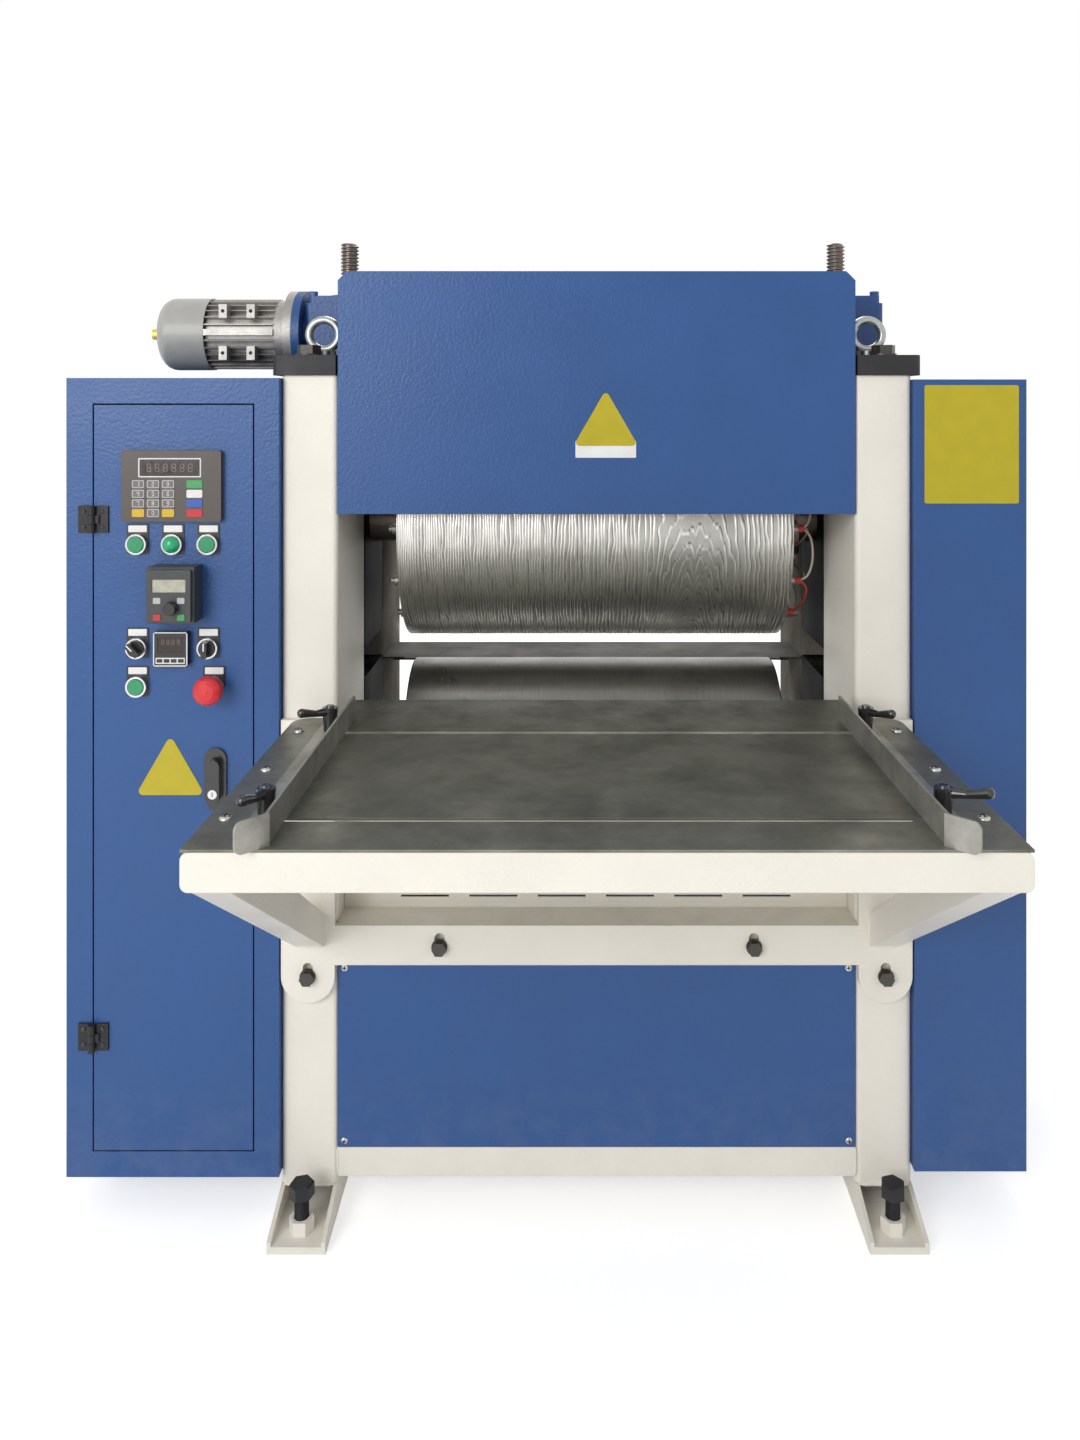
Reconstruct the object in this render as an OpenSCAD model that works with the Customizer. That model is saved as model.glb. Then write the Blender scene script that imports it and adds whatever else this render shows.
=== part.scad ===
// Floor-standing heated-roll press that embosses a wood grain into boards.
// Millimetres, Z up. X runs along the rolls, Y runs from the infeed table to the back.

/* [Frame] */
// Clear width between the left and right posts
opening_w = 736; // [700:2:800]
// Width of a post, along the rolls
post_w = 80; // [70:2:100]
// Depth of a post, along the feed
post_d = 200; // [160:5:240]
// Wall of a post
post_wall = 8; // [5:0.5:10]
// Thickness of the cap plate welded in the top of a post
post_cap_t = 14; // [10:1:20]
// Clear depth between a front post and its rear post, where the bearing blocks slide
window_d = 160; // [150:2:190]
// Height of the posts above the table
post_over = 484; // [474:1:554]
// Thickness of a top plate
plate_t = 29; // [20:1:35]
// How far a top plate stands out past its post
plate_over = 12; // [6:1:16]
// Chamfer on the corners of a top plate
plate_chamfer = 6; // [2:1:12]
// Across flats of the bolts that hold the top plates
plate_bolt_af = 30; // [24:1:36]
// Shank of the bolts that hold the top plates
plate_bolt_d = 20; // [16:1:22]
// Outer diameter of a lifting eye's ring
eye_d = 56; // [48:1:66]
// Bar of a lifting eye's ring
eye_bar = 12; // [10:1:14]

/* [Feet] */
// Height of a foot channel, under the posts
foot_h = 41; // [36:1:60]
// Thickness of a foot channel's web
foot_web = 10; // [8:1:14]
// Thickness of a foot channel's legs
foot_leg = 6; // [5:0.5:9]
// How far a foot reaches past the posts
foot_reach = 76; // [66:1:110]
// Height of the lip at a foot's end
foot_lip = 16; // [14:1:24]
// Distance from a post to the jack bolt
jack_out = 44; // [38:1:48]
// Shank of a jack bolt
jack_d = 20; // [16:1:24]
// Across flats of a jack bolt's head and nut
jack_af = 30; // [26:1:34]
// Length of a jack bolt under its head
jack_len = 56; // [54:1:62]

/* [Rails and panels] */
// Underside of the bottom rails
base_rail_z = 52; // [46:1:60]
// Height of the bottom rails
base_rail_h = 41; // [30:1:50]
// Depth of the bottom rails
base_rail_d = 40; // [30:1:60]
// Underside of the upper rails
cross_rail_z = 357; // [340:1:370]
// Height of the upper rails
cross_rail_h = 56; // [50:1:64]
// Depth of the upper rails
cross_rail_d = 50; // [40:1:70]
// Wall of the rails
rail_wall = 4; // [3:0.5:6]
// Drop of the bearing sills below the table
sill_drop = 226; // [216:1:236]
// Height of a sill
sill_h = 50; // [30:1:60]
// Sheet of the panels and guards
sheet_t = 2; // [1.5:0.1:3]
// Depth of the returns folded on panels and guards
return_d = 24; // [16:1:30]
// Height of the dust sheet over the upper rail
dust_sheet_h = 225; // [150:5:235]
// Length of a slit in the dust sheet
slit_len = 70; // [50:5:80]
// Gap between slits in the dust sheet
slit_gap = 30; // [20:2:40]

/* [Rolls] */
// Diameter of the heated embossing roll
emboss_d = 380; // [360:2:384]
// Face length of the embossing roll
emboss_len = 600; // [560:5:640]
// Wall of the embossing roll's shell
emboss_wall = 50; // [40:1:60]
// Shaft of the embossing roll
emboss_shaft_d = 80; // [70:1:84]
// Diameter of the smooth pressure roll
press_d = 240; // [220:2:260]
// Face length of the pressure roll
press_len = 600; // [560:5:640]
// Wall of the pressure roll's shell
press_wall = 22; // [15:1:30]
// Shaft of the pressure roll
press_shaft_d = 70; // [60:1:76]
// How far the pressure roll stands over the table
press_over = 15; // [4:1:20]
// Gap between the rolls as set
roll_gap = 48; // [46:1:56]
// Thickness of the discs that carry a roll's shell on its shaft
head_t = 30; // [20:1:40]
// How far those discs are set in from the ends
head_in = 18; // [10:1:24]
// Heater rods around the embossing roll
heater_count = 12; // [8:1:16]
// Diameter of a heater rod's ferrule
ferrule_d = 16; // [12:1:18]
// Length of a heater rod's ferrule
ferrule_len = 14; // [10:1:18]

/* [Bearings and lift] */
// Radial running clearance of the shafts
running = 0.05; // [0.02:0.01:0.09]
// Sliding clearance of the bearing blocks in the window
slide_gap = 0.3; // [0.2:0.05:0.5]
// Height of an upper bearing block
upper_block_h = 353; // [330:1:356]
// How far an upper bearing block reaches under the roll's axis
upper_block_drop = 202; // [150:1:204]
// Height of a lower bearing block
lower_block_h = 230; // [220:1:236]
// Outer diameter of the bearings
bearing_od = 130; // [124:1:140]
// Width of the bearings
bearing_w = 40; // [30:1:50]
// Diameter of a lift screw
screw_d = 30; // [26:1:34]
// Height of the lift screws' tops over the floor
screw_top_z = 1418; // [1380:1:1440]
// Width of a lift gearbox along the rolls
gearbox_w = 105; // [96:1:120]
// Depth of a lift gearbox
gearbox_d = 150; // [146:1:160]
// Height of a lift gearbox
gearbox_h = 103; // [100:1:110]
// Distance from a lift screw to the worm's axis
worm_offset = 50; // [46:1:54]
// Height of the worm's axis over the top plates
worm_z = 44; // [42:1:50]
// Diameter of the shaft between the gearboxes
cross_shaft_d = 25; // [20:1:30]

/* [Lift motor] */
// Diameter of the flange between motor and gearbox
flange_d = 140; // [130:1:144]
// Thickness of one half of that flange
flange_t = 13; // [10:1:16]
// Length of the finned body
motor_len = 110; // [90:1:130]
// Outer diameter over the fins
motor_d = 114; // [100:1:124]
// Fins around the body
fin_count = 28; // [20:2:36]
// Height of a fin
fin_h = 8; // [5:0.5:10]
// Diameter of the fan cover
fan_cover_d = 117; // [108:1:126]
// Length of the fan cover
fan_cover_len = 80; // [60:1:90]
// Diameter of the hand-turning shaft end
crank_d = 17.5; // [14:0.5:20]
// How far the hand-turning end stands out of the fan cover
crank_out = 20; // [12:1:26]

/* [Drive] */
// Pitch of the drive chain
chain_pitch = 25.4; // [25.4:25.4:25.4]
// Roller of the drive chain
chain_roller_d = 15.9; // [14:0.1:16]
// Teeth of the pressure roll's sprocket
driven_teeth = 32; // [28:4:32]
// Teeth of the motor's sprocket
drive_teeth = 16; // [16:4:20]
// Height of the gearmotor's output shaft
drive_z = 240; // [225:1:255]
// Diameter of the gearmotor's output shaft
drive_shaft_d = 40; // [32:1:48]
// Distance of the chain from the posts
chain_out = 62; // [56:1:70]
// Width of the guard over the drive
guard_w = 158; // [146:1:180]
// Diameter of the drive motor
drive_motor_d = 160; // [140:1:170]

/* [Table] */
// Height of the table over the floor
table_z = 706; // [700:1:712]
// Width of the table
table_w = 850; // [830:2:870]
// Reach of the table in front of the posts
table_reach = 462; // [420:1:500]
// Sheet of the table
table_t = 3; // [2:0.5:5]
// How far the table's tongue runs in between the posts
tongue_in = 84; // [60:1:100]
// Tube of the table frame
table_tube = 40; // [30:1:45]
// Wall of the table frame's tubes
tube_wall = 3; // [2:0.5:5]
// Radius on the front corners of the table's rail
rail_corner = 8; // [4:1:12]
// Radius of the table's corners beside the posts
wing_corner = 25; // [12:1:32]
// Thickness of the table's mounting plate
mount_t = 10; // [8:1:14]
// Width of the mounting plate's ears
ear_w = 76; // [66:2:76]
// Height of the bolts in the ears
ear_z = 341; // [330:1:348]
// Height of the bolts in the mounting plate's strip
strip_bolt_z = 383; // [378:1:390]
// Half of the distance between the bolts in the strip
strip_bolt_x = 222; // [180:2:260]
// Shank of the table bolts
table_bolt_d = 12; // [10:1:14]
// How far the table can be let down on its bolts
table_drop = 12; // [6:1:14]
// Width of the slots across the table
slot_w = 10; // [9:0.5:12]
// Distance of the rear slot from the posts
slot_rear = 79; // [60:1:100]
// Distance of the front slot from the table's front edge
slot_front = 78; // [66:1:90]

/* [Fences] */
// Distance between the fences
fence_gap = 680; // [600:2:690]
// Height of a fence
fence_h = 33; // [24:1:40]
// Sheet of a fence
fence_t = 3; // [2:0.5:4]
// Width of a fence's foot
fence_foot = 38; // [34:1:44]
// How far a fence's straight run ends behind the table's front edge
fence_end_in = 7; // [2:1:12]
// Rear end of a fence, in front of the posts
fence_rear = 15; // [8:1:30]
// Run of the flared front end
flare_run = 25; // [16:1:32]
// Diameter of a clamp lever's hub
lever_hub_d = 21; // [16:1:24]
// Height of a clamp lever's hub
lever_hub_h = 31; // [28:1:40]
// Length of a clamp lever's arm
lever_arm = 46; // [40:1:60]
// Stud of a clamp lever
stud_d = 8; // [6:1:8]

/* [Cabinet] */
// Width of the cabinet
cabinet_w = 300; // [280:2:330]
// Depth of the cabinet
cabinet_d = 400; // [360:5:450]
// Height of the cabinet's underside
cabinet_z = 59; // [50:1:70]
// How far the cabinet's top is below the posts' top
cabinet_under = 4; // [2:1:20]
// How far the cabinet and the drive guard stand in front of the posts
front_out = 12; // [8:1:20]
// Edge left around the door at the sides
door_side = 37; // [30:1:40]
// Edge left around the door at the top and bottom
door_edge = 36; // [30:1:40]
// Seam around the door
seam = 2; // [1.5:0.1:3]
// Depth of the door's returns
door_return = 16; // [10:1:20]
// Height of a hinge
hinge_h = 38; // [30:1:50]
// Width of a hinge leaf
hinge_leaf = 20; // [16:1:24]
// Distance of a hinge from the door's end
hinge_in = 161; // [120:1:200]

/* [Controls] */
// Distance between the columns of buttons
column_pitch = 50; // [46:1:54]
// Diameter of a button's bezel
bezel_d = 29; // [27:0.5:30]
// Drop of the first row of buttons below the door's top
row_one_drop = 196; // [194:1:200]
// Drop of the selector switches and the temperature controller below the door's top
row_two_drop = 342; // [340:1:346]
// Drop of the third row of buttons below the door's top
row_three_drop = 396; // [396:1:402]
// Travel of a push button
button_travel = 3; // [2:0.5:3.5]
// Width of the counter's panel
counter_w = 140; // [120:1:144]
// Height of the counter's panel
counter_h = 100; // [90:1:100]
// Drop of the counter's lower edge below the door's top
counter_drop = 164; // [150:1:164]
// Width of the speed keypad
keypad_w = 66; // [60:1:70]
// Height of the speed keypad
keypad_h = 78; // [70:1:80]
// Drop of the speed keypad's lower edge below the door's top
keypad_drop = 302; // [300:1:304]
// How far the speed keypad stands out
keypad_out = 40; // [25:1:45]
// Diameter of the speed knob
knob_d = 20; // [16:1:22]
// Side of the temperature controller
controller_side = 48; // [46:1:50]
// Diameter of the emergency stop's head
stop_d = 40; // [36:1:42]
// Drop of the lock's middle below the door's top
lock_drop = 526; // [490:2:560]
// Width of the lock plate
lock_w = 31; // [28:1:34]
// Height of the lock plate
lock_h = 86; // [80:1:92]

/* [Hidden] */
$fn = 48;
eps = 0.01;
in_x = opening_w / 2;
out_x = in_x + post_w;
mid_x = in_x + post_w / 2;
rear_y = post_d + window_d;
back_y = rear_y + post_d;
axis_y = post_d + window_d / 2;
post_top_z = table_z + post_over;
sill_z = table_z - sill_drop;
plate_top_z = post_top_z + plate_t;
press_z = table_z + press_over - press_d / 2;
emboss_z = table_z + press_over + roll_gap + emboss_d / 2;
shaft_end_x = out_x - 3;

// The part's origin stands on the floor under the middle of its outline
x_low = -out_x - cabinet_w;
x_high = out_x + guard_w;
fence_front = table_reach - fence_end_in;
y_low = -fence_front - flare_run;
y_high = back_y + foot_reach;
origin_x = (x_low + x_high) / 2;
origin_y = (y_low + y_high) / 2;

seat = 0.5;
washer_t = 3;
head_share = 0.62;
plate_bolt_y = 30;
plate_bolt_x = mid_x + 8;
eye_x = mid_x - 5;
eye_y = 68;
eye_collar_h = 9;
eye_shank = 20;
jack_tip_z = 1;
jack_clear = 0.4;
jack_nut_h = 19;
jack_y = [-jack_out, back_y + jack_out];
guard_over = 34;
guard_clear = 16;
guard_low_z = emboss_z + guard_over;
guard_high_z = plate_top_z + gearbox_h + guard_clear;
guard_chamfer = 13;

upper_block_z = emboss_z - upper_block_drop;
upper_block_top = upper_block_z + upper_block_h;
lower_block_z = sill_z;
gearbox_y = axis_y - worm_offset / 2;
gearbox_top = plate_top_z + gearbox_h;
worm_y = axis_y - worm_offset;
worm_axis_z = plate_top_z + worm_z;
gearbox_left = -mid_x - gearbox_w / 2;
bell_step = 2;
fin_t = 2;
fin_root = 3;
motor_rib = 10;
motor_pad = [13, 20, 22];
motor_pad_x = [0.3, 0.7];
motor_pad_z = 0.29;
motor_pad_in = 4;
pad_hole_d = 5.5;
neck_len = 4;
motor_x1 = gearbox_left - flange_t * 2 - neck_len;
bell_len = 18;
motor_x0 = motor_x1 - bell_len - motor_len;
fan_x0 = motor_x0 - fan_cover_len;
terminal_r = emboss_d / 2 - emboss_wall / 2;
lead_rise = 44;
lead_stub = 10;
lead_ring_r = emboss_shaft_d / 2 + lead_rise;
lead_ring_x = emboss_len / 2 + ferrule_len + lead_stub;
lead_d = 12;
slip_x = out_x + 26;
slip_pitch = 18;
slip_track = 14;
slip_edge = 2;
slip_groove = 14;
slip_w = 3 * slip_pitch + 2 * slip_edge;
brush_arm_in = 10;
brush_arm_t = 12;
brush_arm_h = 40;
brush_w = 11;
roll_edge = 4;
press_edge = 2;
slip_d = emboss_shaft_d + 24;

chain_x = out_x + chain_out;
driven_r = chain_pitch / 2 / sin(180 / driven_teeth);
drive_r = chain_pitch / 2 / sin(180 / drive_teeth);
chain_link_h = 20;
chain_plate_t = 3;
chain_inner_w = 17;
sprocket_side = 0.6;
sprocket_t = chain_inner_w - 2 * sprocket_side;
sprocket_hub_over = 40;
sprocket_hub_w = 24;
shaft_past = 14;
tooth_over = 3.5;
roller_clear = 1;
plate_in = 2;
plate_end = 5;
screw_hole_gap = 3;
eye_collar_over = 15;
eye_sink = 4;
slit_end = 20;
slit_up = 15;
slit_h = 3;
fan_dome = 22;
fan_slots = 12;
fan_slot_w = 3;
fan_slot_len = 0.16 * fan_cover_d;
fan_slot_in = 5;
grip_len = 56;
grip_in = 12;
shaft_end_in = 6;
block_bore_over = 14;
gearbox_step = 12;
gearbox_bolt_in = 12;
gearbox_bolt_af = 13;
gearbox_bolt_h = 7;
gearbox_corner = 10;
gearbox_inset = 4;
screw_cap_over = 36;
screw_cap_h = 8;
worm_case_d = 2 * worm_z - 6;
roll_clear = 7;
outfeed_len = 120;
outfeed_lip = 30;
outfeed_notch = 40;
bed_t = 10;
bed_left = 60;
bed_right = 30;
gear_case_x0 = in_x * 0.25;
gear_case_in = 40;
gear_case_x1 = in_x - gear_case_in;
gear_case_edge = 10;
drive_motor_x0 = -in_x * 0.5;
drive_hood_len = 60;
drive_hood_over = 8;
drive_boss_over = 50;
drive_boss_w = 16;
drive_bore_in = 20;
bed_z = base_rail_z + base_rail_h + eps;
guard_z0 = 67;
cover_under = 6;
guard_z1 = post_top_z - cover_under;
cover_flange = 30;

table_under = table_z - table_t;
wing_x = table_w / 2;
rail_x = wing_x - table_tube / 2;
ear_x = mid_x;
tongue_clear = 4;
tongue_x = in_x - tongue_clear;
slot_ys = [-slot_rear, -table_reach + slot_front];
slot_half = in_x + 2;
screw_rear = 72;
screw_front = 81;
screw_head_d = 13;
screw_head_h = 3.5;
foot_start = 20;
flare_corner = 9;
strip_low = cross_rail_z;
strip_high = cross_rail_z + cross_rail_h;
brace_drop = 30;
brace_low_z = strip_high - brace_drop;
plate_gap = 0.2;
slot_clear = 1;

stud_x = fence_gap / 2 + fence_t + 18;
stud_clear = 0.08;
nut_side = 18;
nut_h = 8;
lever_yaw = [[50, 75], [60, 30]];
lever_seat = 0.3;
stud_past = 4;
arm_drop = 5;
hub_taper = 4;
// Balls that the arm of a lever joins: share of its length, rise, diameter
arm_balls = [[0.1, 0, 12], [0.5, 1.5, 8.5], [1, 7, 12]];
lever_cap_d = 12;
lever_cap_h = 3;

cab_x0 = -out_x - cabinet_w;
cab_x1 = -out_x;
cabinet_h = post_top_z - cabinet_under - cabinet_z;
face_y = -front_out;
opening_x0 = cab_x0 + door_side;
opening_x1 = cab_x1 - door_side + 2;
opening_z0 = cabinet_z + door_edge;
opening_z1 = cabinet_z + cabinet_h - door_edge;
door_z0 = opening_z0 + seam;
door_z1 = opening_z1 - seam;
row_one_z = door_z1 - row_one_drop;
row_two_z = door_z1 - row_two_drop;
row_three_z = door_z1 - row_three_drop;
counter_z = door_z1 - counter_drop;
keypad_z = door_z1 - keypad_drop;
lock_z = door_z1 - lock_drop;
door_x0 = opening_x0 + seam;
door_x1 = opening_x1 - seam;
door_mid = (opening_x0 + opening_x1) / 2;
hinge_x = opening_x0 + seam / 2;
hinge_pin_d = 5;
knuckle_d = 10;
hinge_leaf_t = 3;
knuckle_share = 0.33;
knuckle_gap = 0.015;
middle_half = 0.5 - knuckle_share - knuckle_gap;
hinge_y = face_y - knuckle_d / 2 - 1;
hinge_zs = [door_z0 + hinge_in, door_z1 - hinge_in];
hinge_gap = 0.4;
gear_edge = 30;
gear_standoff = 22;
gear_standoff_d = 12;
// Rows of the cabinet's gear: count, width and lower and upper edge as shares of the plate, depth
gear_rows = [[1, 0.83, 0.06, 0.33, 150], [1, 0.92, 0.38, 0.41, 40], [5, 0.14, 0.43, 0.51, 80],
             [1, 0.92, 0.54, 0.57, 40], [4, 0.17, 0.6, 0.69, 70], [1, 0.75, 0.76, 0.87, 100]];
legend_t = 1.2;
legend_w = 31;
legend_up = 28;
barrel_d = 22;
barrel_hole = barrel_d + 0.4;
bezel_h = 8;
cap_d = bezel_d - 6;
cap_gap = 0.4;
contact_side = 30;
contact_len = 38;
columns = [-column_pitch, 0, column_pitch];
green_places = [[columns[0], row_one_z], [columns[2], row_one_z], [columns[0], row_three_z]];
lamp_place = [columns[1], row_one_z];
selector_places = [[columns[0], row_two_z], [columns[2], row_two_z]];
stop_place = [columns[2] + 8, row_three_z];
knob_place = [12, keypad_z + 23];
knob_h = 12;
knob_skirt = 2.5;
knob_flute_d = 3;
selector_grip_w = 8;
selector_grip_h = 12;
stop_stem = 14;
bezel_floor = 2;
barrel_len = 8;
controller_out = 12;
controller_body = 62;
controller_lip = 1.5;
controller_key = [8, 5];
controller_key_pitch = 10;
panel_lip = 6;
panel_corner = 4;
body_clear = 1;
display_deep = 1.5;
key_rise = 0.8;
key_corner = 2;
key_size = [17, 11];
key_pitch = [21, 13.5];
key_first = [-46, 3];
side_key_more = 5;
side_key_gap = 16;
counter_display = [80, 20];
counter_display_x = -2;
counter_display_y = 26;
counter_body = 34;
keypad_x = 8;
keypad_step = 6;
keypad_key = [10, 8];
keypad_key_x = [-16, 17];
keypad_key_y = [-6, -29];
keypad_display_drop = 25;
keypad_display_in = 20;
keypad_display_h = 18;
counter_out = 9;
lock_aside = 60;
lock_x = door_mid + lock_aside;
lock_plate_t = 4;
lock_end_r = lock_w / 2;
lever_w = 18;
lever_top_z = lock_z + lock_h / 2 - 14;
lever_low_z = lock_z - lock_h / 2 + 12;
lever_out = 11;
pivot_r = 5;
lock_taper = 16;
lock_tip = 7;
lever_taper = 6;
lever_tip = 5;
lock_cyl_in = 3;
key_slot = [1.6, 6, 4];
pivot_y = face_y - lock_plate_t - slide_gap - pivot_r;
pivot_z = lever_top_z - pivot_r;
lock_cyl_z = lever_low_z + 13;
lock_cyl_d = 13;

blue = [0.25, 0.37, 0.58];
cream = [0.93, 0.91, 0.86];
steel = [0.62, 0.63, 0.62];
dark = [0.13, 0.13, 0.14];
silver = [0.78, 0.79, 0.80];

// Common shapes

module place() {
  translate([-origin_x, -origin_y, 0]) children();
}

module both_sides() {
  children();
  mirror([1, 0, 0]) children();
}

module along_x(d, len) {
  rotate([0, 90, 0]) cylinder(d = d, h = len);
}

module along_y(d, len) {
  rotate([-90, 0, 0]) cylinder(d = d, h = len);
}

module hex(af, h) {
  cylinder(r = af / 2 / cos(30), h = h, $fn = 6);
}

module box(low, high) {
  translate(low) cube(high - low);
}

module rounded(w, h, r) {
  square([w - 2 * r, h], center = true);
  square([w, h - 2 * r], center = true);
  for (x = [-1, 1], y = [-1, 1]) translate([x * (w / 2 - r), y * (h / 2 - r)]) circle(r);
}

// A profile drawn in X and Z, with its front at y and its depth along +Y
module upright(y, depth) {
  translate([0, y + depth, 0]) rotate([90, 0, 0]) linear_extrude(depth) children();
}

// A profile drawn in Y and Z, from x along +X
module sideways(x, len) {
  translate([x, 0, 0]) rotate([90, 0, 90]) linear_extrude(len) children();
}

// A folded sheet: a face with returns on all four sides, open at the back
module tray(w, h, depth, t) {
  difference() {
    translate([-w / 2, 0, -h / 2]) cube([w, depth, h]);
    translate([-w / 2 + t, t, -h / 2 + t]) cube([w - 2 * t, depth, h - 2 * t]);
  }
}

module hex_bolt(d, af, len) {
  hex(af, af * head_share * 0.66);
  translate([0, 0, -washer_t]) cylinder(d = af * 1.25, h = washer_t);
  translate([0, 0, -washer_t - len]) cylinder(d = d, h = len + eps);
}

// Frame

module posts() color(cream) place() both_sides() for (y = [0, rear_y]) {
  difference() {
    translate([mid_x, y + post_d / 2, foot_h]) linear_extrude(post_top_z - foot_h)
      rounded(post_w, post_d, post_wall);
    box([in_x + post_wall, y + post_wall, foot_h - 1],
        [out_x - post_wall, y + post_d - post_wall, post_top_z - post_cap_t]);
    if (y == 0) translate([ear_x, -1, ear_z]) along_y(table_bolt_d + eps, post_wall + 2);
    translate([plate_bolt_x, y == 0 ? plate_bolt_y : back_y - plate_bolt_y, post_top_z - post_cap_t - 1])
      cylinder(d = plate_bolt_d + eps, h = post_cap_t + 2);
    translate([eye_x, y == 0 ? eye_y : back_y - eye_y, post_top_z - post_cap_t - 1])
      cylinder(d = plate_bolt_d, h = post_cap_t + 2);
  }
}

module foot_end_cut(y, turn) {
  translate([0, y, 0]) rotate([0, 0, turn]) sideways(-post_w / 2 - 1, post_w + 2)
    polygon([[-1, foot_lip], [0, foot_lip], [foot_reach, foot_h], [foot_reach, foot_h + 1],
             [-1, foot_h + 1]]);
}

module foot_channels() color(cream) place() both_sides() translate([mid_x, 0, 0]) difference() {
  union() {
    difference() {
      box([-post_w / 2, -foot_reach, 0], [post_w / 2, back_y + foot_reach, foot_h]);
      box([-post_w / 2 + foot_leg, -foot_reach - 1, foot_web],
          [post_w / 2 - foot_leg, back_y + foot_reach + 1, foot_h + 1]);
      foot_end_cut(-foot_reach, 0);
      foot_end_cut(back_y + foot_reach, 180);
    }
    for (y = jack_y) translate([0, y, foot_web - eps]) hex(jack_af, jack_nut_h);
  }
  for (y = jack_y) translate([0, y, -1]) cylinder(d = jack_d + 2 * jack_clear, h = foot_h);
}

module rail(y, depth, z, h) {
  difference() {
    box([-in_x, y, z], [in_x, y + depth, z + h]);
    box([-in_x - 1, y + rail_wall, z + rail_wall], [in_x + 1, y + depth - rail_wall, z + h - rail_wall]);
  }
}

module cross_rails() color(cream) place() {
  rail(0, base_rail_d, base_rail_z, base_rail_h);
  rail(back_y - base_rail_d, base_rail_d, base_rail_z, base_rail_h);
  difference() {
    rail(0, cross_rail_d, cross_rail_z, cross_rail_h);
    both_sides() translate([strip_bolt_x, -1, strip_bolt_z]) along_y(table_bolt_d + eps, rail_wall + 2);
  }
  rail(back_y - cross_rail_d, cross_rail_d, cross_rail_z, cross_rail_h);
  both_sides() box([in_x, post_d, sill_z - sill_h], [out_x - seat, rear_y, sill_z]);
  dust_sheet();
  box([-in_x + bed_left, return_d + seat, bed_z],
      [in_x - bed_right, back_y - return_d - seat, bed_z + bed_t]);
}

module plate_outline() {
  x0 = in_x + plate_in;
  x1 = out_x + plate_over;
  y0 = -plate_end;
  y1 = back_y + plate_end;
  c = plate_chamfer;
  polygon([[x0, y0], [x1 - c, y0], [x1, y0 + c], [x1, y1 - c], [x1 - c, y1], [x0, y1]]);
}

module top_plates() color(dark) place() both_sides() difference() {
  translate([0, 0, post_top_z]) linear_extrude(plate_t) plate_outline();
  translate([mid_x, axis_y, post_top_z - 1]) cylinder(d = screw_d + 2 * screw_hole_gap, h = plate_t + 2);
  for (y = [plate_bolt_y, back_y - plate_bolt_y])
    translate([plate_bolt_x, y, post_top_z - 1]) cylinder(d = plate_bolt_d + 1, h = plate_t + 2);
  for (y = [eye_y, back_y - eye_y])
    translate([eye_x, y, post_top_z - 1]) cylinder(d = eye_shank + eps, h = plate_t + 2);
}

module frame_bolts() color(dark) place() both_sides() {
  for (y = [plate_bolt_y, back_y - plate_bolt_y])
    translate([plate_bolt_x, y, plate_top_z + washer_t])
      hex_bolt(plate_bolt_d, plate_bolt_af, plate_t + post_cap_t);
  for (p = [[ear_x, ear_z, post_wall], [strip_bolt_x, strip_bolt_z, rail_wall]])
    translate([p[0], -mount_t - plate_gap - washer_t, p[1]]) rotate([90, 0, 0])
      hex_bolt(table_bolt_d, table_bolt_d * 1.5, mount_t + plate_gap + p[2]);
}

module lifting_eyes() color(dark) place() both_sides() for (y = [eye_y, back_y - eye_y])
  translate([eye_x, y, plate_top_z]) {
    rim = (eye_d - eye_bar) / 2;
    cylinder(d = eye_shank + eye_collar_over, h = eye_collar_h);
    translate([0, 0, -plate_t]) cylinder(d = eye_shank, h = plate_t + 1);
    translate([0, 0, eye_collar_h + eye_d / 2 - eye_sink]) rotate([90, 0, 0])
      rotate_extrude() translate([rim, 0]) circle(d = eye_bar);
  }

module panel_low(y, turn) {
  h = cross_rail_z - base_rail_z - base_rail_h - 2 * seat;
  translate([0, y, base_rail_z + base_rail_h + seat + h / 2]) rotate([0, 0, turn])
    tray(opening_w - 2 * seat, h, return_d, sheet_t);
}

module dust_sheet() {
  count = floor((opening_w - 2 * slit_end) / (slit_len + slit_gap));
  span = count * slit_len + (count - 1) * slit_gap;
  z0 = cross_rail_z + cross_rail_h + eps;
  difference() {
    box([-in_x + seat, cross_rail_d - sheet_t - 2, z0], [in_x - seat, cross_rail_d - 2, z0 + dust_sheet_h]);
    for (i = [0 : count - 1]) translate([-span / 2 + i * (slit_len + slit_gap), 0, z0 + slit_up])
      cube([slit_len, cross_rail_d, slit_h]);
  }
}

module lower_panels() color(blue) place() {
  panel_low(0, 0);
  panel_low(back_y, 180);
}

module guard_face(y, turn) {
  w = opening_w - 2 * seat;
  h = guard_high_z - guard_low_z;
  c = guard_chamfer;
  translate([0, y, guard_low_z]) rotate([0, 0, turn]) difference() {
    upright(0, return_d) polygon([[-w / 2, 0], [w / 2, 0], [w / 2, h - c], [w / 2 - c, h],
                                  [-w / 2 + c, h], [-w / 2, h - c]]);
    translate([0, sheet_t, 0]) upright(0, return_d)
      polygon([[-w / 2 + sheet_t, sheet_t], [w / 2 - sheet_t, sheet_t], [w / 2 - sheet_t, h - c - sheet_t],
               [w / 2 - c - sheet_t, h - sheet_t], [-w / 2 + c + sheet_t, h - sheet_t],
               [-w / 2 + sheet_t, h - c - sheet_t]]);
  }
}

module roll_guards() color(blue) place() {
  w = opening_w - 2 * seat - 2 * guard_chamfer;
  guard_face(-sheet_t, 0);
  guard_face(back_y + sheet_t, 180);
  box([-w / 2, return_d - sheet_t + seat, guard_high_z - sheet_t],
      [w / 2, back_y - return_d + sheet_t - seat, guard_high_z]);
}

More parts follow.
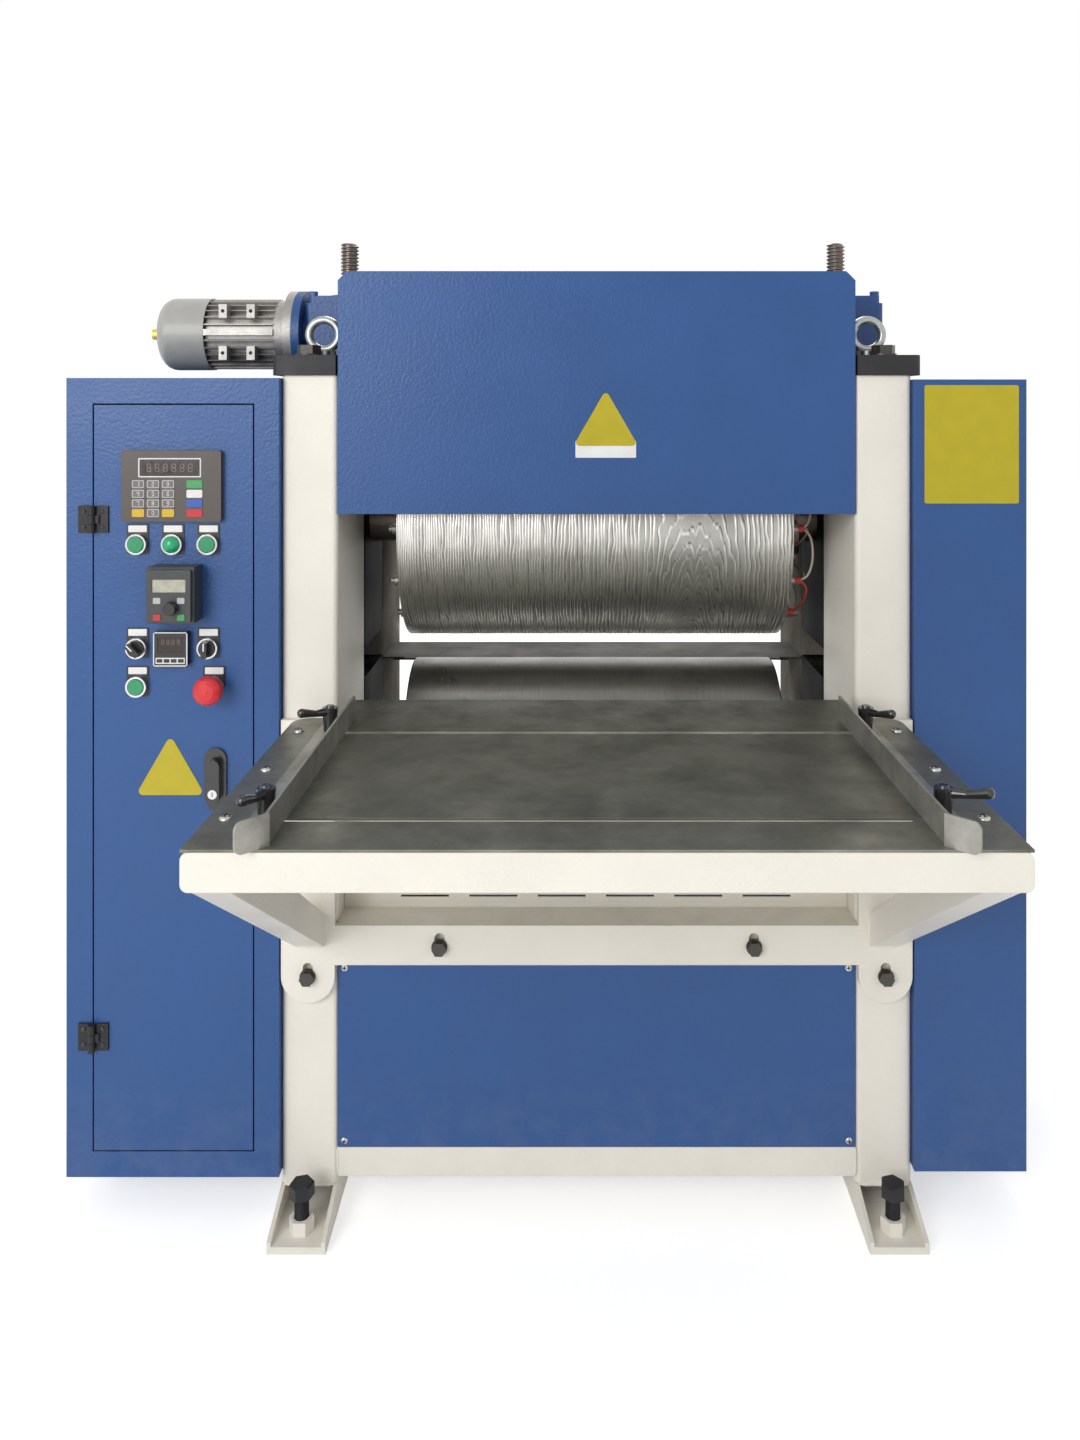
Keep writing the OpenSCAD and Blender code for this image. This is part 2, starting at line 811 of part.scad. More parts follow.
// A bearing block with its pressed-in bearing
module bearing_block(z, h, axis_z, shaft_d) {
  difference() {
    box([in_x, post_d + slide_gap, z], [out_x - seat, rear_y - slide_gap, z + h]);
    translate([in_x - 1, axis_y, axis_z]) along_x(bearing_od, bearing_w + 1);
    translate([in_x, axis_y, axis_z]) along_x(shaft_d + block_bore_over, post_w + 1);
  }
  difference() {
    translate([in_x + eps, axis_y, axis_z]) along_x(bearing_od - 2 * eps, bearing_w - 2 * eps);
    translate([in_x - 1, axis_y, axis_z]) along_x(shaft_d + 2 * running, bearing_w + 2);
  }
}

module lower_bearings() color(dark) place() both_sides()
  bearing_block(lower_block_z, lower_block_h, press_z, press_shaft_d);

// A gearbox has a square case, the worm's round housing and a turned cover round the screw
module gearbox() {
  bolt_x = gearbox_w / 2 - gearbox_bolt_in;
  bolt_y = gearbox_d / 2 - gearbox_bolt_in;
  difference() {
    union() {
      translate([0, gearbox_y, plate_top_z]) linear_extrude(gearbox_h - gearbox_step)
        rounded(gearbox_w, gearbox_d, gearbox_corner);
      translate([0, gearbox_y, gearbox_top - gearbox_step - eps]) linear_extrude(gearbox_step)
        rounded(gearbox_w - 2 * gearbox_inset, gearbox_d - 2 * gearbox_inset, gearbox_corner);
      translate([-gearbox_w / 2, worm_y, worm_axis_z]) along_x(worm_case_d, gearbox_w);
      translate([0, axis_y, gearbox_top - eps]) cylinder(d = screw_d + screw_cap_over, h = screw_cap_h);
      for (x = [-1, 1], y = [-1, 1]) translate([x * bolt_x, gearbox_y + y * bolt_y, gearbox_top - eps])
        hex(gearbox_bolt_af, gearbox_bolt_h);
    }
    translate([0, axis_y, plate_top_z - 1])
      cylinder(d = screw_d + 2 * slide_gap, h = gearbox_h + 2 * screw_cap_h);
    translate([-gearbox_w, worm_y, worm_axis_z]) along_x(cross_shaft_d + 2 * running, gearbox_w * 2);
  }
}

module lift_gearboxes() color(blue) place() {
  translate([mid_x, 0, 0]) gearbox();
  translate([-mid_x, 0, 0]) gearbox();
  translate([gearbox_left - flange_t - neck_len, worm_y, worm_axis_z]) difference() {
    union() {
      along_x(flange_d, flange_t);
      translate([flange_t - eps, 0, 0]) along_x(worm_case_d, neck_len);
    }
    translate([-1, 0, 0]) along_x(cross_shaft_d + 2 * running, flange_t + neck_len + 2);
  }
}

// The motor turns about X: an end bell and flange at its right, fins between, four bosses in front
module lift_motor() color(silver) place() translate([0, worm_y, worm_axis_z]) difference() {
  union() {
    translate([motor_x1, 0, 0]) along_x(flange_d, flange_t);
    translate([motor_x1 - bell_len, 0, 0]) along_x(motor_d - 2 * bell_step, bell_len + 1);
    translate([motor_x0, 0, 0]) along_x(motor_d - 2 * fin_h, motor_len + 1);
    for (i = [0 : fin_count - 1]) rotate([i * 360 / fin_count, 0, 0])
      translate([motor_x0, motor_d / 2 - fin_h - fin_root, -fin_t / 2])
        cube([motor_len + 1, fin_h + fin_root, fin_t]);
    for (x = motor_pad_x, z = [-motor_pad_z, motor_pad_z])
      translate([motor_x0 + motor_len * x, -motor_d / 2 + motor_pad_in, z * motor_d])
        cube(motor_pad, center = true);
    translate([motor_x0, -motor_d / 2 - 1, -motor_rib / 2]) cube([motor_len, motor_rib, motor_rib]);
  }
  for (x = motor_pad_x, z = [-motor_pad_z, motor_pad_z])
    translate([motor_x0 + motor_len * x, -motor_d / 2 + motor_pad_in - motor_pad[1], z * motor_d])
      along_y(pad_hole_d, motor_pad[1]);
  translate([motor_x0 - 1, 0, 0])
    along_x(cross_shaft_d + 2 * running, motor_x1 - motor_x0 + flange_t + 2);
}

// Half the section of a dome-ended cup, open at the motor
module fan_cup(r, len, dome) {
  polygon(concat([[0, 0], [r, 0], [r, dome - len]],
    [for (a = [15 : 15 : 60]) [r - fan_dome * (1 - cos(a)), dome - len - dome * sin(a)]],
    [[r / 2, -len], [0, -len]]));
}

module lift_motor_fan_cover() color([0.5, 0.51, 0.52]) place()
  translate([motor_x0, worm_y, worm_axis_z]) rotate([0, 90, 0]) difference() {
    r = fan_cover_d / 2;
    rotate_extrude() fan_cup(r, fan_cover_len, fan_dome);
    rotate_extrude() fan_cup(r - sheet_t, fan_cover_len - sheet_t, fan_dome - sheet_t);
    translate([0, 0, -fan_cover_len - 1]) cylinder(d = crank_d + 2 * slide_gap, h = 2 * sheet_t + 2);
    for (i = [0 : fan_slots - 1]) rotate([0, 0, i * 360 / fan_slots])
      translate([crank_d / 2 + fan_slot_in, -fan_slot_w / 2, -fan_cover_len - 1])
        cube([fan_slot_len, fan_slot_w, 2 * sheet_t + 2]);
  }

// Drive

module drive_gearmotor() color(blue) place() {
  half = drive_motor_d / 2 + gear_case_edge;
  difference() {
    union() {
      translate([drive_motor_x0, axis_y, drive_z])
        along_x(drive_motor_d, gear_case_x0 - drive_motor_x0 + 1);
      translate([drive_motor_x0 - drive_hood_len, axis_y, drive_z])
        along_x(drive_motor_d + drive_hood_over, drive_hood_len + 1);
      box([gear_case_x0, axis_y - half, bed_z + bed_t], [gear_case_x1, axis_y + half, drive_z + half]);
      translate([gear_case_x1 - 1, axis_y, drive_z]) along_x(drive_shaft_d + drive_boss_over, drive_boss_w);
    }
    translate([gear_case_x0 + drive_bore_in, axis_y, drive_z]) along_x(drive_shaft_d + 2 * running, in_x);
  }
}

// Tangent side of the chain: its normal leans up by the difference of the sprockets
chain_span = press_z - drive_z;
chain_lean = -asin((driven_r - drive_r) / chain_span);

module chain_shape(grow) {
  for (s = [-1, 1]) polygon([
    [0, press_z], [s * (driven_r + grow) * cos(chain_lean), press_z + (driven_r + grow) * sin(chain_lean)],
    [s * (drive_r + grow) * cos(chain_lean), drive_z + (drive_r + grow) * sin(chain_lean)], [0, drive_z]]);
  translate([0, press_z]) circle(driven_r + grow);
  translate([0, drive_z]) circle(drive_r + grow);
}

module chain_rollers() {
  run = sqrt(pow(chain_span, 2) - pow(driven_r - drive_r, 2));
  count = floor(run / chain_pitch) - 2;
  for (s = [-1, 1], i = [2 : count - 1]) {
    t = i / (count + 1);
    r = drive_r + (driven_r - drive_r) * t;
    translate([s * r * cos(chain_lean), drive_z + r * sin(chain_lean) + chain_span * t])
      circle(d = chain_roller_d);
  }
}

module drive_chain() color(dark) place() {
  half = chain_inner_w / 2;
  for (x = [chain_x - half - chain_plate_t, chain_x + half])
    translate([0, axis_y, 0]) sideways(x, chain_plate_t) difference() {
      chain_shape(chain_link_h / 2);
      chain_shape(-chain_link_h / 2);
    }
  translate([0, axis_y, 0]) sideways(chain_x - half - eps, chain_inner_w + 2 * eps) chain_rollers();
}

module sprocket(teeth, pitch_r, z) {
  translate([0, axis_y, z]) sideways(chain_x - sprocket_t / 2, sprocket_t) difference() {
    circle(pitch_r + tooth_over);
    for (i = [0 : teeth - 1]) rotate([0, 0, i * 360 / teeth])
      translate([pitch_r, 0]) circle(d = chain_roller_d + 2 * roller_clear);
  }
}

module pressure_roll_sprocket() color(steel) place() difference() {
  union() {
    sprocket(driven_teeth, driven_r, press_z);
    translate([chain_x - sprocket_t / 2 - sprocket_hub_w + eps, axis_y, press_z])
      along_x(press_shaft_d + sprocket_hub_over, sprocket_hub_w);
  }
  translate([out_x, axis_y, press_z]) along_x(press_shaft_d, guard_w);
}

module drive_sprocket() color(steel) place() {
  x0 = gear_case_x0 + drive_bore_in + 1;
  sprocket(drive_teeth, drive_r, drive_z);
  translate([x0, axis_y, drive_z]) along_x(drive_shaft_d, chain_x + shaft_past - x0);
}

module outfeed_plate() color(steel) place() {
  y0 = axis_y + sqrt(pow(press_d / 2, 2) - pow(table_under - press_z, 2)) + roll_clear;
  y1 = rear_y + outfeed_len;
  box([-in_x + seat, rear_y + seat, table_under], [in_x - seat, y1, table_z]);
  box([-in_x + outfeed_notch, y0, table_under], [in_x - outfeed_notch, rear_y + 1, table_z]);
  box([-in_x + seat, y1 - table_t, table_under - outfeed_lip], [in_x - seat, y1, table_under + eps]);
}

// Cabinet and drive guard

module control_cabinet() color(blue) place() difference() {
  box([cab_x0, face_y, cabinet_z], [cab_x1, face_y + cabinet_d, cabinet_z + cabinet_h]);
  box([cab_x0 + sheet_t, face_y + sheet_t, cabinet_z + sheet_t],
      [cab_x1 - sheet_t, face_y + cabinet_d - sheet_t, cabinet_z + cabinet_h - sheet_t]);
  box([opening_x0, face_y - 1, opening_z0], [opening_x1, face_y + sheet_t + 1, opening_z1]);
}

module cabinet_gear() color([0.8, 0.8, 0.78]) place() {
  back = face_y + cabinet_d - sheet_t;
  plate_y = back - gear_standoff;
  w = cabinet_w - 2 * gear_edge;
  h = cabinet_h - 4 * gear_edge;
  x0 = cab_x0 + gear_edge;
  z0 = cabinet_z + 2 * gear_edge;
  for (x = [x0 + gear_edge / 2, x0 + w - gear_edge / 2], z = [z0 + gear_edge / 2, z0 + h - gear_edge / 2])
    translate([x, plate_y - eps, z]) along_y(gear_standoff_d, gear_standoff);
  box([x0, plate_y - sheet_t, z0], [x0 + w, plate_y, z0 + h]);
  for (row = gear_rows, i = [0 : row[0] - 1]) {
    mid = x0 + w * (i + 0.5) / row[0];
    box([mid - w * row[1] / 2, plate_y - row[4], z0 + h * row[2]],
        [mid + w * row[1] / 2, plate_y - sheet_t / 2, z0 + h * row[3]]);
  }
}

// Knuckles of a hinge at the given heights, as shares of its height
module knuckle(z, low, high) {
  translate([hinge_x, hinge_y, z - hinge_h / 2 + low * hinge_h])
    cylinder(d = knuckle_d, h = (high - low) * hinge_h);
}

module hinge_leaves() color(dark) place() for (z = hinge_zs) {
  for (band = [[0, knuckle_share], [1 - knuckle_share, 1]]) {
    knuckle(z, band[0], band[1]);
    box([hinge_x - knuckle_d / 2, hinge_y, z - hinge_h / 2 + band[0] * hinge_h],
        [hinge_x - hinge_gap, face_y, z - hinge_h / 2 + band[1] * hinge_h]);
  }
  box([hinge_x - hinge_leaf, face_y - hinge_leaf_t, z - hinge_h / 2],
      [hinge_x - knuckle_d / 2 - hinge_gap, face_y, z + hinge_h / 2]);
  translate([hinge_x, hinge_y, z - hinge_h / 2]) cylinder(d = hinge_pin_d, h = hinge_h);
}

module door_hinge_leaves() color(dark) place() for (z = hinge_zs) difference() {
  union() {
    knuckle(z, knuckle_share + knuckle_gap, 1 - knuckle_share - knuckle_gap);
    box([hinge_x + knuckle_d / 2 + hinge_gap, face_y - hinge_leaf_t, z - hinge_h / 2],
        [hinge_x + hinge_leaf + 2, face_y, z + hinge_h / 2]);
    box([hinge_x + seam / 2 + hinge_gap, hinge_y, z - hinge_h * middle_half],
        [hinge_x + knuckle_d, face_y, z + hinge_h * middle_half]);
  }
  translate([hinge_x, hinge_y, z - hinge_h]) cylinder(d = hinge_pin_d + 2 * running, h = hinge_h * 2);
}

module drive_guard() color(blue) place() {
  y0 = -front_out;
  y1 = back_y + front_out;
  inner = cover_flange;
  difference() {
    box([out_x, y0, guard_z0], [x_high, y1, guard_z1]);
    box([out_x + sheet_t, y0 + sheet_t, guard_z0 + sheet_t],
        [x_high - sheet_t, y1 - sheet_t, guard_z1 - sheet_t]);
    box([out_x - 1, y0 + inner + front_out, guard_z0 + inner],
        [out_x + sheet_t + 1, y1 - inner - front_out, guard_z1 - inner]);
  }
}

// Lift and embossing roll

module upper_bearings() color(dark) place() {
  both_sides() bearing_block(upper_block_z, upper_block_h, emboss_z, emboss_shaft_d);
  brush_holder();
}

module lift_screws() color(steel) place() both_sides() translate([mid_x, axis_y, upper_block_top]) {
  chamfer = 2;
  len = screw_top_z - upper_block_top;
  cylinder(d = screw_d, h = len - chamfer);
  translate([0, 0, len - chamfer - eps]) cylinder(d1 = screw_d, d2 = screw_d - 2 * chamfer, h = chamfer);
}

// Three brushes on an arm of the right-hand block, one on each slip ring
module brush_holder() {
  y1 = rear_y - slide_gap - brush_arm_in;
  contact_y = axis_y + slip_d / 2 + slide_gap;
  box([out_x - seat + eps, y1 - brush_arm_t, emboss_z - brush_arm_h / 2],
      [slip_x + slip_w, y1, emboss_z + brush_arm_h / 2]);
  for (i = [0 : 2]) translate([slip_x + slip_edge + (i + 0.5) * slip_pitch, 0, emboss_z])
    box([-brush_w / 2, contact_y, -brush_w / 2], [brush_w / 2, y1 - brush_arm_t + eps, brush_w / 2]);
}

// A tube along X with its outer edges broken
module roll_shell(d, bore, len, edge) {
  r = d / 2;
  half = len / 2;
  rotate([0, 90, 0]) rotate_extrude($fn = 128)
    polygon([[bore / 2, -half], [r - edge, -half], [r, -half + edge], [r, half - edge], [r - edge, half],
             [bore / 2, half]]);
}

// The two end discs that carry a roll's shell on its shaft
module roll_heads(d, bore, len) {
  for (x = [-len / 2 + head_in, len / 2 - head_in - head_t]) translate([x, 0, 0]) difference() {
    along_x(d, head_t);
    translate([-1, 0, 0]) along_x(bore + 2 * eps, head_t + 2);
  }
}

module embossing_roll() color(steel) place() translate([0, axis_y, emboss_z])
  roll_shell(emboss_d, emboss_d - 2 * emboss_wall, emboss_len, roll_edge);

module embossing_shaft() color(steel) place() translate([0, axis_y, emboss_z]) {
  translate([-shaft_end_x, 0, 0]) along_x(emboss_shaft_d, shaft_end_x + slip_x + slip_w + slip_edge);
  roll_heads(emboss_d - 2 * emboss_wall - 2 * eps, emboss_shaft_d, emboss_len);
}

module heater_terminals() color(silver) place() translate([0, axis_y, emboss_z]) both_sides()
  for (i = [0 : heater_count - 1]) rotate([i * 360 / heater_count, 0, 0])
    translate([emboss_len / 2, 0, terminal_r]) {
      along_x(ferrule_d, ferrule_len * 0.6);
      translate([ferrule_len * 0.6 - eps, 0, 0]) along_x(ferrule_d * 0.6, ferrule_len * 0.4);
    }

module heater_leads() color([0.8, 0.3, 0.25]) place() translate([lead_ring_x, axis_y, emboss_z]) {
  rise = terminal_r - lead_ring_r;
  wire = lead_d / 2;
  rotate([0, 90, 0]) rotate_extrude() translate([lead_ring_r, 0]) circle(d = lead_d);
  for (i = [0 : heater_count - 1]) rotate([i * 360 / heater_count, 0, 0]) {
    translate([0, 0, lead_ring_r]) cylinder(d = wire, h = rise);
    translate([-lead_stub + eps, 0, terminal_r]) along_x(wire, lead_stub + wire / 2);
  }
  for (i = [0 : 2]) rotate([i * 120, 0, 0]) translate([0, 0, emboss_shaft_d / 2 + eps])
    cylinder(d = wire, h = lead_ring_r - emboss_shaft_d / 2);
}

module slip_ring() color([0.72, 0.55, 0.28]) place() translate([slip_x, axis_y, emboss_z]) difference() {
  union() {
    along_x(slip_d - slip_groove, slip_w);
    for (i = [0 : 2]) translate([slip_edge + i * slip_pitch + (slip_pitch - slip_track) / 2, 0, 0])
      along_x(slip_d, slip_track);
  }
  translate([-1, 0, 0]) along_x(emboss_shaft_d + eps, slip_w + 2);
}

module pressure_roll() color(steel) place() translate([0, axis_y, press_z]) {
  bore = press_d - 2 * press_wall;
  roll_shell(press_d, bore, press_len, press_edge);
  roll_heads(bore + 2 * eps, press_shaft_d, press_len);
  translate([-shaft_end_x, 0, 0]) along_x(press_shaft_d, shaft_end_x + chain_x + shaft_past);
}

module lift_cross_shaft() color([0.8, 0.68, 0.2]) place() translate([0, worm_y, worm_axis_z]) {
  grip_x = mid_x - gearbox_w / 2 - grip_len - grip_in;
  for (s = [-1, 1]) translate([s * grip_x - grip_len / 2, 0, 0]) along_x(cross_shaft_d * 2, grip_len);
  translate([motor_x0 + 2, 0, 0])
    along_x(cross_shaft_d, mid_x + gearbox_w / 2 - shaft_end_in - motor_x0);
  translate([fan_x0 - crank_out, 0, 0]) along_x(crank_d, fan_cover_len + crank_out + 3);
}

// Door and controls

// Moves to a control's place on the door: x from the door's middle, z from the floor, y out of its face
module on_door(p) {
  translate([door_mid + p[0], face_y, p[1]]) rotate([90, 0, 0]) children();
}

module door_cuts() {
  for (p = concat(green_places, selector_places, [lamp_place], [stop_place])) on_door(p)
    translate([0, 0, -sheet_t - 1]) cylinder(d = barrel_hole, h = sheet_t + 2);
  box([door_mid - counter_w / 2 + panel_lip, face_y - 1, counter_z + panel_lip],
      [door_mid + counter_w / 2 - panel_lip, face_y + sheet_t + 1, counter_z + counter_h - panel_lip]);
  half = controller_side / 2 - controller_lip;
  box([door_mid - half, face_y - 1, row_two_z - half],
      [door_mid + half, face_y + sheet_t + 1, row_two_z + half]);
}

module cabinet_door() color(blue) place() difference() {
  h = opening_z1 - opening_z0 - 2 * seam;
  w = door_x1 - door_x0;
  translate([(door_x0 + door_x1) / 2, face_y, opening_z0 + seam + h / 2]) tray(w, h, door_return, sheet_t);
  door_cuts();
}

module counter_panel() color([0.36, 0.33, 0.32]) place() on_door([0, counter_z + counter_h / 2]) {
  difference() {
    linear_extrude(counter_out) rounded(counter_w, counter_h, panel_corner);
    translate([counter_display_x, counter_display_y, counter_out - display_deep])
      linear_extrude(2 * display_deep) square(counter_display, center = true);
  }
  translate([0, 0, -counter_body]) linear_extrude(counter_body + eps)
    square([counter_w - 2 * panel_lip, counter_h - 2 * panel_lip] - [2, 2] * body_clear, center = true);
  for (c = [0 : 3], r = [0 : 3]) {
    wide = c == 3 ? side_key_more : 0;
    gap = c == 3 ? side_key_gap : 0;
    x = key_first[0] + c * key_pitch[0] + gap;
    y = key_first[1] - r * key_pitch[1];
    translate([x, y, counter_out - eps]) linear_extrude(key_rise)
      rounded(key_size[0] + wide, key_size[1], key_corner);
  }
}

module speed_keypad() color([0.3, 0.31, 0.32]) place() on_door([keypad_x, keypad_z + keypad_h / 2])
difference() {
  union() {
    linear_extrude(keypad_out - keypad_step) rounded(keypad_w, keypad_h, key_corner);
    translate([0, 0, keypad_out - keypad_step - eps]) linear_extrude(keypad_step)
      rounded(keypad_w - keypad_step, keypad_h - keypad_step, key_corner);
    for (x = keypad_key_x, y = keypad_key_y) translate([x, y, keypad_out - 2 * eps])
      linear_extrude(key_rise) rounded(keypad_key[0], keypad_key[1], key_corner / 2);
  }
  translate([0, keypad_h / 2 - keypad_display_drop, keypad_out - display_deep])
    linear_extrude(2 * display_deep)
      square([keypad_w - keypad_display_in, keypad_display_h], center = true);
}

module temperature_controller() color(dark) place() on_door([0, row_two_z]) {
  window = controller_side - 2 * panel_lip;
  difference() {
    linear_extrude(controller_out) rounded(controller_side, controller_side, key_corner);
    translate([0, panel_lip, controller_out - display_deep]) linear_extrude(2 * display_deep)
      square([window, window * 0.6], center = true);
  }
  translate([0, 0, -controller_body]) linear_extrude(controller_body + eps)
    square(controller_side - 2 * controller_lip - body_clear, center = true);
  for (i = [-1.5 : 1 : 1.5])
    translate([i * controller_key_pitch, -controller_side / 3, controller_out - eps])
      linear_extrude(key_rise) rounded(controller_key[0], controller_key[1], key_corner / 2);
}

module legend_plates() color(dark) place()
  for (p = concat(green_places, selector_places, [lamp_place])) on_door(p) difference() {
    translate([0, legend_up / 2 - bezel_d / 4, 0]) linear_extrude(legend_t)
      rounded(legend_w, legend_up + bezel_d / 2, 2);
    translate([0, 0, -1]) cylinder(d = barrel_hole, h = legend_t + 2);
  }

module bezel(out) {
  difference() {
    translate([0, 0, out]) cylinder(d = bezel_d, h = bezel_h);
    translate([0, 0, out + bezel_floor]) cylinder(d = cap_d + 2 * cap_gap, h = bezel_h);
  }
  translate([0, 0, -sheet_t - barrel_len]) cylinder(d = barrel_d, h = sheet_t + barrel_len + out + eps);
  translate([0, 0, -sheet_t - barrel_len - contact_len / 2])
    cube([contact_side, contact_side, contact_len], center = true);
}

module button_bezels() color(silver) place() {
  for (p = concat(green_places, selector_places, [lamp_place])) on_door(p) bezel(legend_t);
  on_door(stop_place) bezel(0);
}

module push_button(p) {
  h = bezel_h - bezel_floor - button_travel;
  on_door(p) translate([0, 0, legend_t + bezel_floor + button_travel + seat]) {
    cylinder(d = cap_d, h = h);
    translate([0, 0, h - eps]) cylinder(d1 = cap_d, d2 = cap_d - 2, h = 1);
  }
}

module start_button() color([0.15, 0.6, 0.33]) place() push_button(green_places[0]);
module feed_button() color([0.15, 0.6, 0.33]) place() push_button(green_places[1]);
module heat_button() color([0.15, 0.6, 0.33]) place() push_button(green_places[2]);

module pilot_lamp() color([0.2, 0.7, 0.4]) place() on_door(lamp_place)
translate([0, 0, legend_t + bezel_floor]) {
  cylinder(d = cap_d, h = bezel_h);
  translate([0, 0, bezel_h - eps]) intersection() {
    translate([0, 0, -cap_d * 0.35]) sphere(r = cap_d * 0.61);
    cylinder(d = cap_d, h = cap_d);
  }
}

module stop_button() color([0.85, 0.15, 0.15]) place() on_door(stop_place)
translate([0, 0, bezel_h + seat]) {
  r = stop_d / 2;
  cylinder(d = cap_d, h = stop_stem);
  translate([0, 0, stop_stem - eps]) rotate_extrude()
    polygon([[0, 0], [r - 3, 0], [r, 3], [r, 9], [r - 1, 12], [r - 4, 15.5], [r * 0.55, 18.4], [0, 19.5]]);
}

module selector(p, turn) {
  on_door(p) translate([0, 0, legend_t + bezel_floor + seat]) {
    cylinder(d = cap_d, h = bezel_h);
    rotate([0, 0, turn]) translate([0, 0, bezel_h - eps]) linear_extrude(selector_grip_h)
      rounded(selector_grip_w, cap_d - 1, key_corner);
  }
}

module left_selector() color(dark) place() selector(selector_places[0], 45);
module right_selector() color(dark) place() selector(selector_places[1], 0);

module speed_knob() color([0.2, 0.2, 0.21]) place() on_door(knob_place)
  translate([0, 0, keypad_out + slide_gap]) difference() {
    union() {
      cylinder(d = knob_d, h = knob_skirt);
      translate([0, 0, knob_skirt - eps])
        cylinder(d1 = knob_d - 1, d2 = knob_d - 3, h = knob_h - knob_skirt);
    }
    for (i = [0 : 11]) rotate([0, 0, i * 30]) translate([knob_d / 2 + 0.2, 0, knob_skirt])
      cylinder(d = knob_flute_d, h = knob_h);
  }

module lock_outline() {
  r = lock_end_r;
  top = lock_h / 2 - r;
  low = -lock_h / 2;
  translate([0, top]) circle(r);
  polygon([[-r, top], [-r, low + lock_taper], [-lock_tip, low], [lock_tip, low], [r, low + lock_taper],
           [r, top]]);
}

module lock_plate() color(dark) place() translate([lock_x, face_y, lock_z]) rotate([90, 0, 0])
  linear_extrude(lock_plate_t) lock_outline();

// The handle is hinged at its rounded top and holds the key cylinder at its lower end
module lock_handle() color(dark) place() difference() {
  intersection() {
    translate([lock_x, face_y, 0]) rotate([90, 0, 0]) translate([0, 0, lock_plate_t + slide_gap])
      linear_extrude(lever_out) lever_outline();
    sideways(lock_x - lever_w, 2 * lever_w) lever_side();
  }
  translate([lock_x, face_y - lock_plate_t - lock_cyl_in, lock_cyl_z]) rotate([90, 0, 0])
    cylinder(d = lock_cyl_d + 2 * running, h = lever_out);
}

module lever_outline() {
  r = lever_w / 2;
  top = lever_top_z - r;
  low = lever_low_z;
  translate([0, top]) circle(r);
  polygon([[-r, top], [-r, low + lever_taper], [-lever_tip, low], [lever_tip, low], [r, low + lever_taper],
           [r, top]]);
}

// The side of the handle: its top is round about the pivot, so that it clears the plate as it lifts
module lever_side() {
  back = face_y - lock_plate_t - slide_gap;
  translate([pivot_y, pivot_z]) circle(pivot_r);
  square_from([back - lever_out, lever_low_z], [pivot_y, lever_top_z]);
  square_from([pivot_y - eps, lever_low_z], [back, pivot_z]);
}

module lock_cylinder() color(silver) place() translate([lock_x, face_y, lock_cyl_z]) rotate([90, 0, 0])
  difference() {
    translate([0, 0, lock_plate_t + lock_cyl_in + slide_gap]) cylinder(d = lock_cyl_d, h = lever_out - 2);
    translate([0, 0, lock_plate_t + lever_out]) cube(key_slot, center = true);
  }

// Infeed table

module table_frame() color(cream) place() {
  tube = table_tube;
  z0 = table_under - tube;
  rail_back = -table_reach + tube;
  plate_y = -mount_t - plate_gap;
  rise = z0 - brace_low_z;
  run = -table_reach + tube / 2;
  upright_h = tube * 1.16;
  translate([0, -table_reach, table_under - tube / 2]) upright(0, tube) rounded(table_w, tube, rail_corner);
  both_sides() {
    difference() {
      box([rail_x - tube / 2, rail_back, z0], [rail_x + tube / 2, plate_y, table_under]);
      box([rail_x - tube / 2 + tube_wall, rail_back - 1, z0 + tube_wall],
          [rail_x + tube / 2 - tube_wall, plate_y + 1, table_under - tube_wall]);
    }
    sideways(rail_x - tube / 2, tube)
      polygon([[plate_y, brace_low_z], [plate_y, brace_low_z + upright_h], [run + 2 * tube, z0],
               [run - tube / 4, z0]]);
  }
  upright(plate_y + eps, mount_t - eps) mount_outline();
}

module mount_outline() {
  top = table_under;
  difference() {
    union() {
      square_from([-ear_x, strip_low], [ear_x, strip_high]);
      for (s = [-1, 1]) {
        translate([s * ear_x, ear_z]) circle(d = ear_w);
        square_from([s * ear_x - ear_w / 2, ear_z], [s * ear_x + ear_w / 2, top]);
      }
    }
    for (p = [[-ear_x, ear_z], [ear_x, ear_z], [-strip_bolt_x, strip_bolt_z], [strip_bolt_x, strip_bolt_z]])
      slot_hole(p);
  }
}

module square_from(low, high) {
  translate(low) square(high - low);
}

module slot_hole(p) {
  d = table_bolt_d + 2 * slot_clear;
  translate(p) circle(d = d);
  translate([p[0], p[1] + table_drop]) circle(d = d);
  square_from([p[0] - d / 2, p[1]], [p[0] + d / 2, p[1] + table_drop]);
}

module table_outline() {
  c = wing_corner;
  wing_y = -mount_t;
  square_from([-wing_x, -table_reach], [wing_x, wing_y - c]);
  square_from([-wing_x + c, wing_y - c - eps], [wing_x - c, wing_y]);
  for (s = [-1, 1]) translate([s * (wing_x - c), wing_y - c]) circle(c);
  square_from([-tongue_x, wing_y - eps], [tongue_x, tongue_in]);
}

module table_sheet() color(steel) place() {
  pitch = (table_reach - screw_rear - screw_front) / 2;
  translate([0, 0, table_under]) linear_extrude(table_t) difference() {
    table_outline();
    for (y = slot_ys) translate([0, y]) {
      square([2 * slot_half - slot_w, slot_w], center = true);
      for (s = [-1, 1]) translate([s * (slot_half - slot_w / 2), 0]) circle(d = slot_w);
    }
  }
  for (s = [-1, 1], i = [0 : 2]) translate([s * rail_x, -screw_rear - i * pitch, table_z - eps])
    cylinder(d1 = screw_head_d, d2 = screw_head_d - screw_head_h, h = screw_head_h);
}

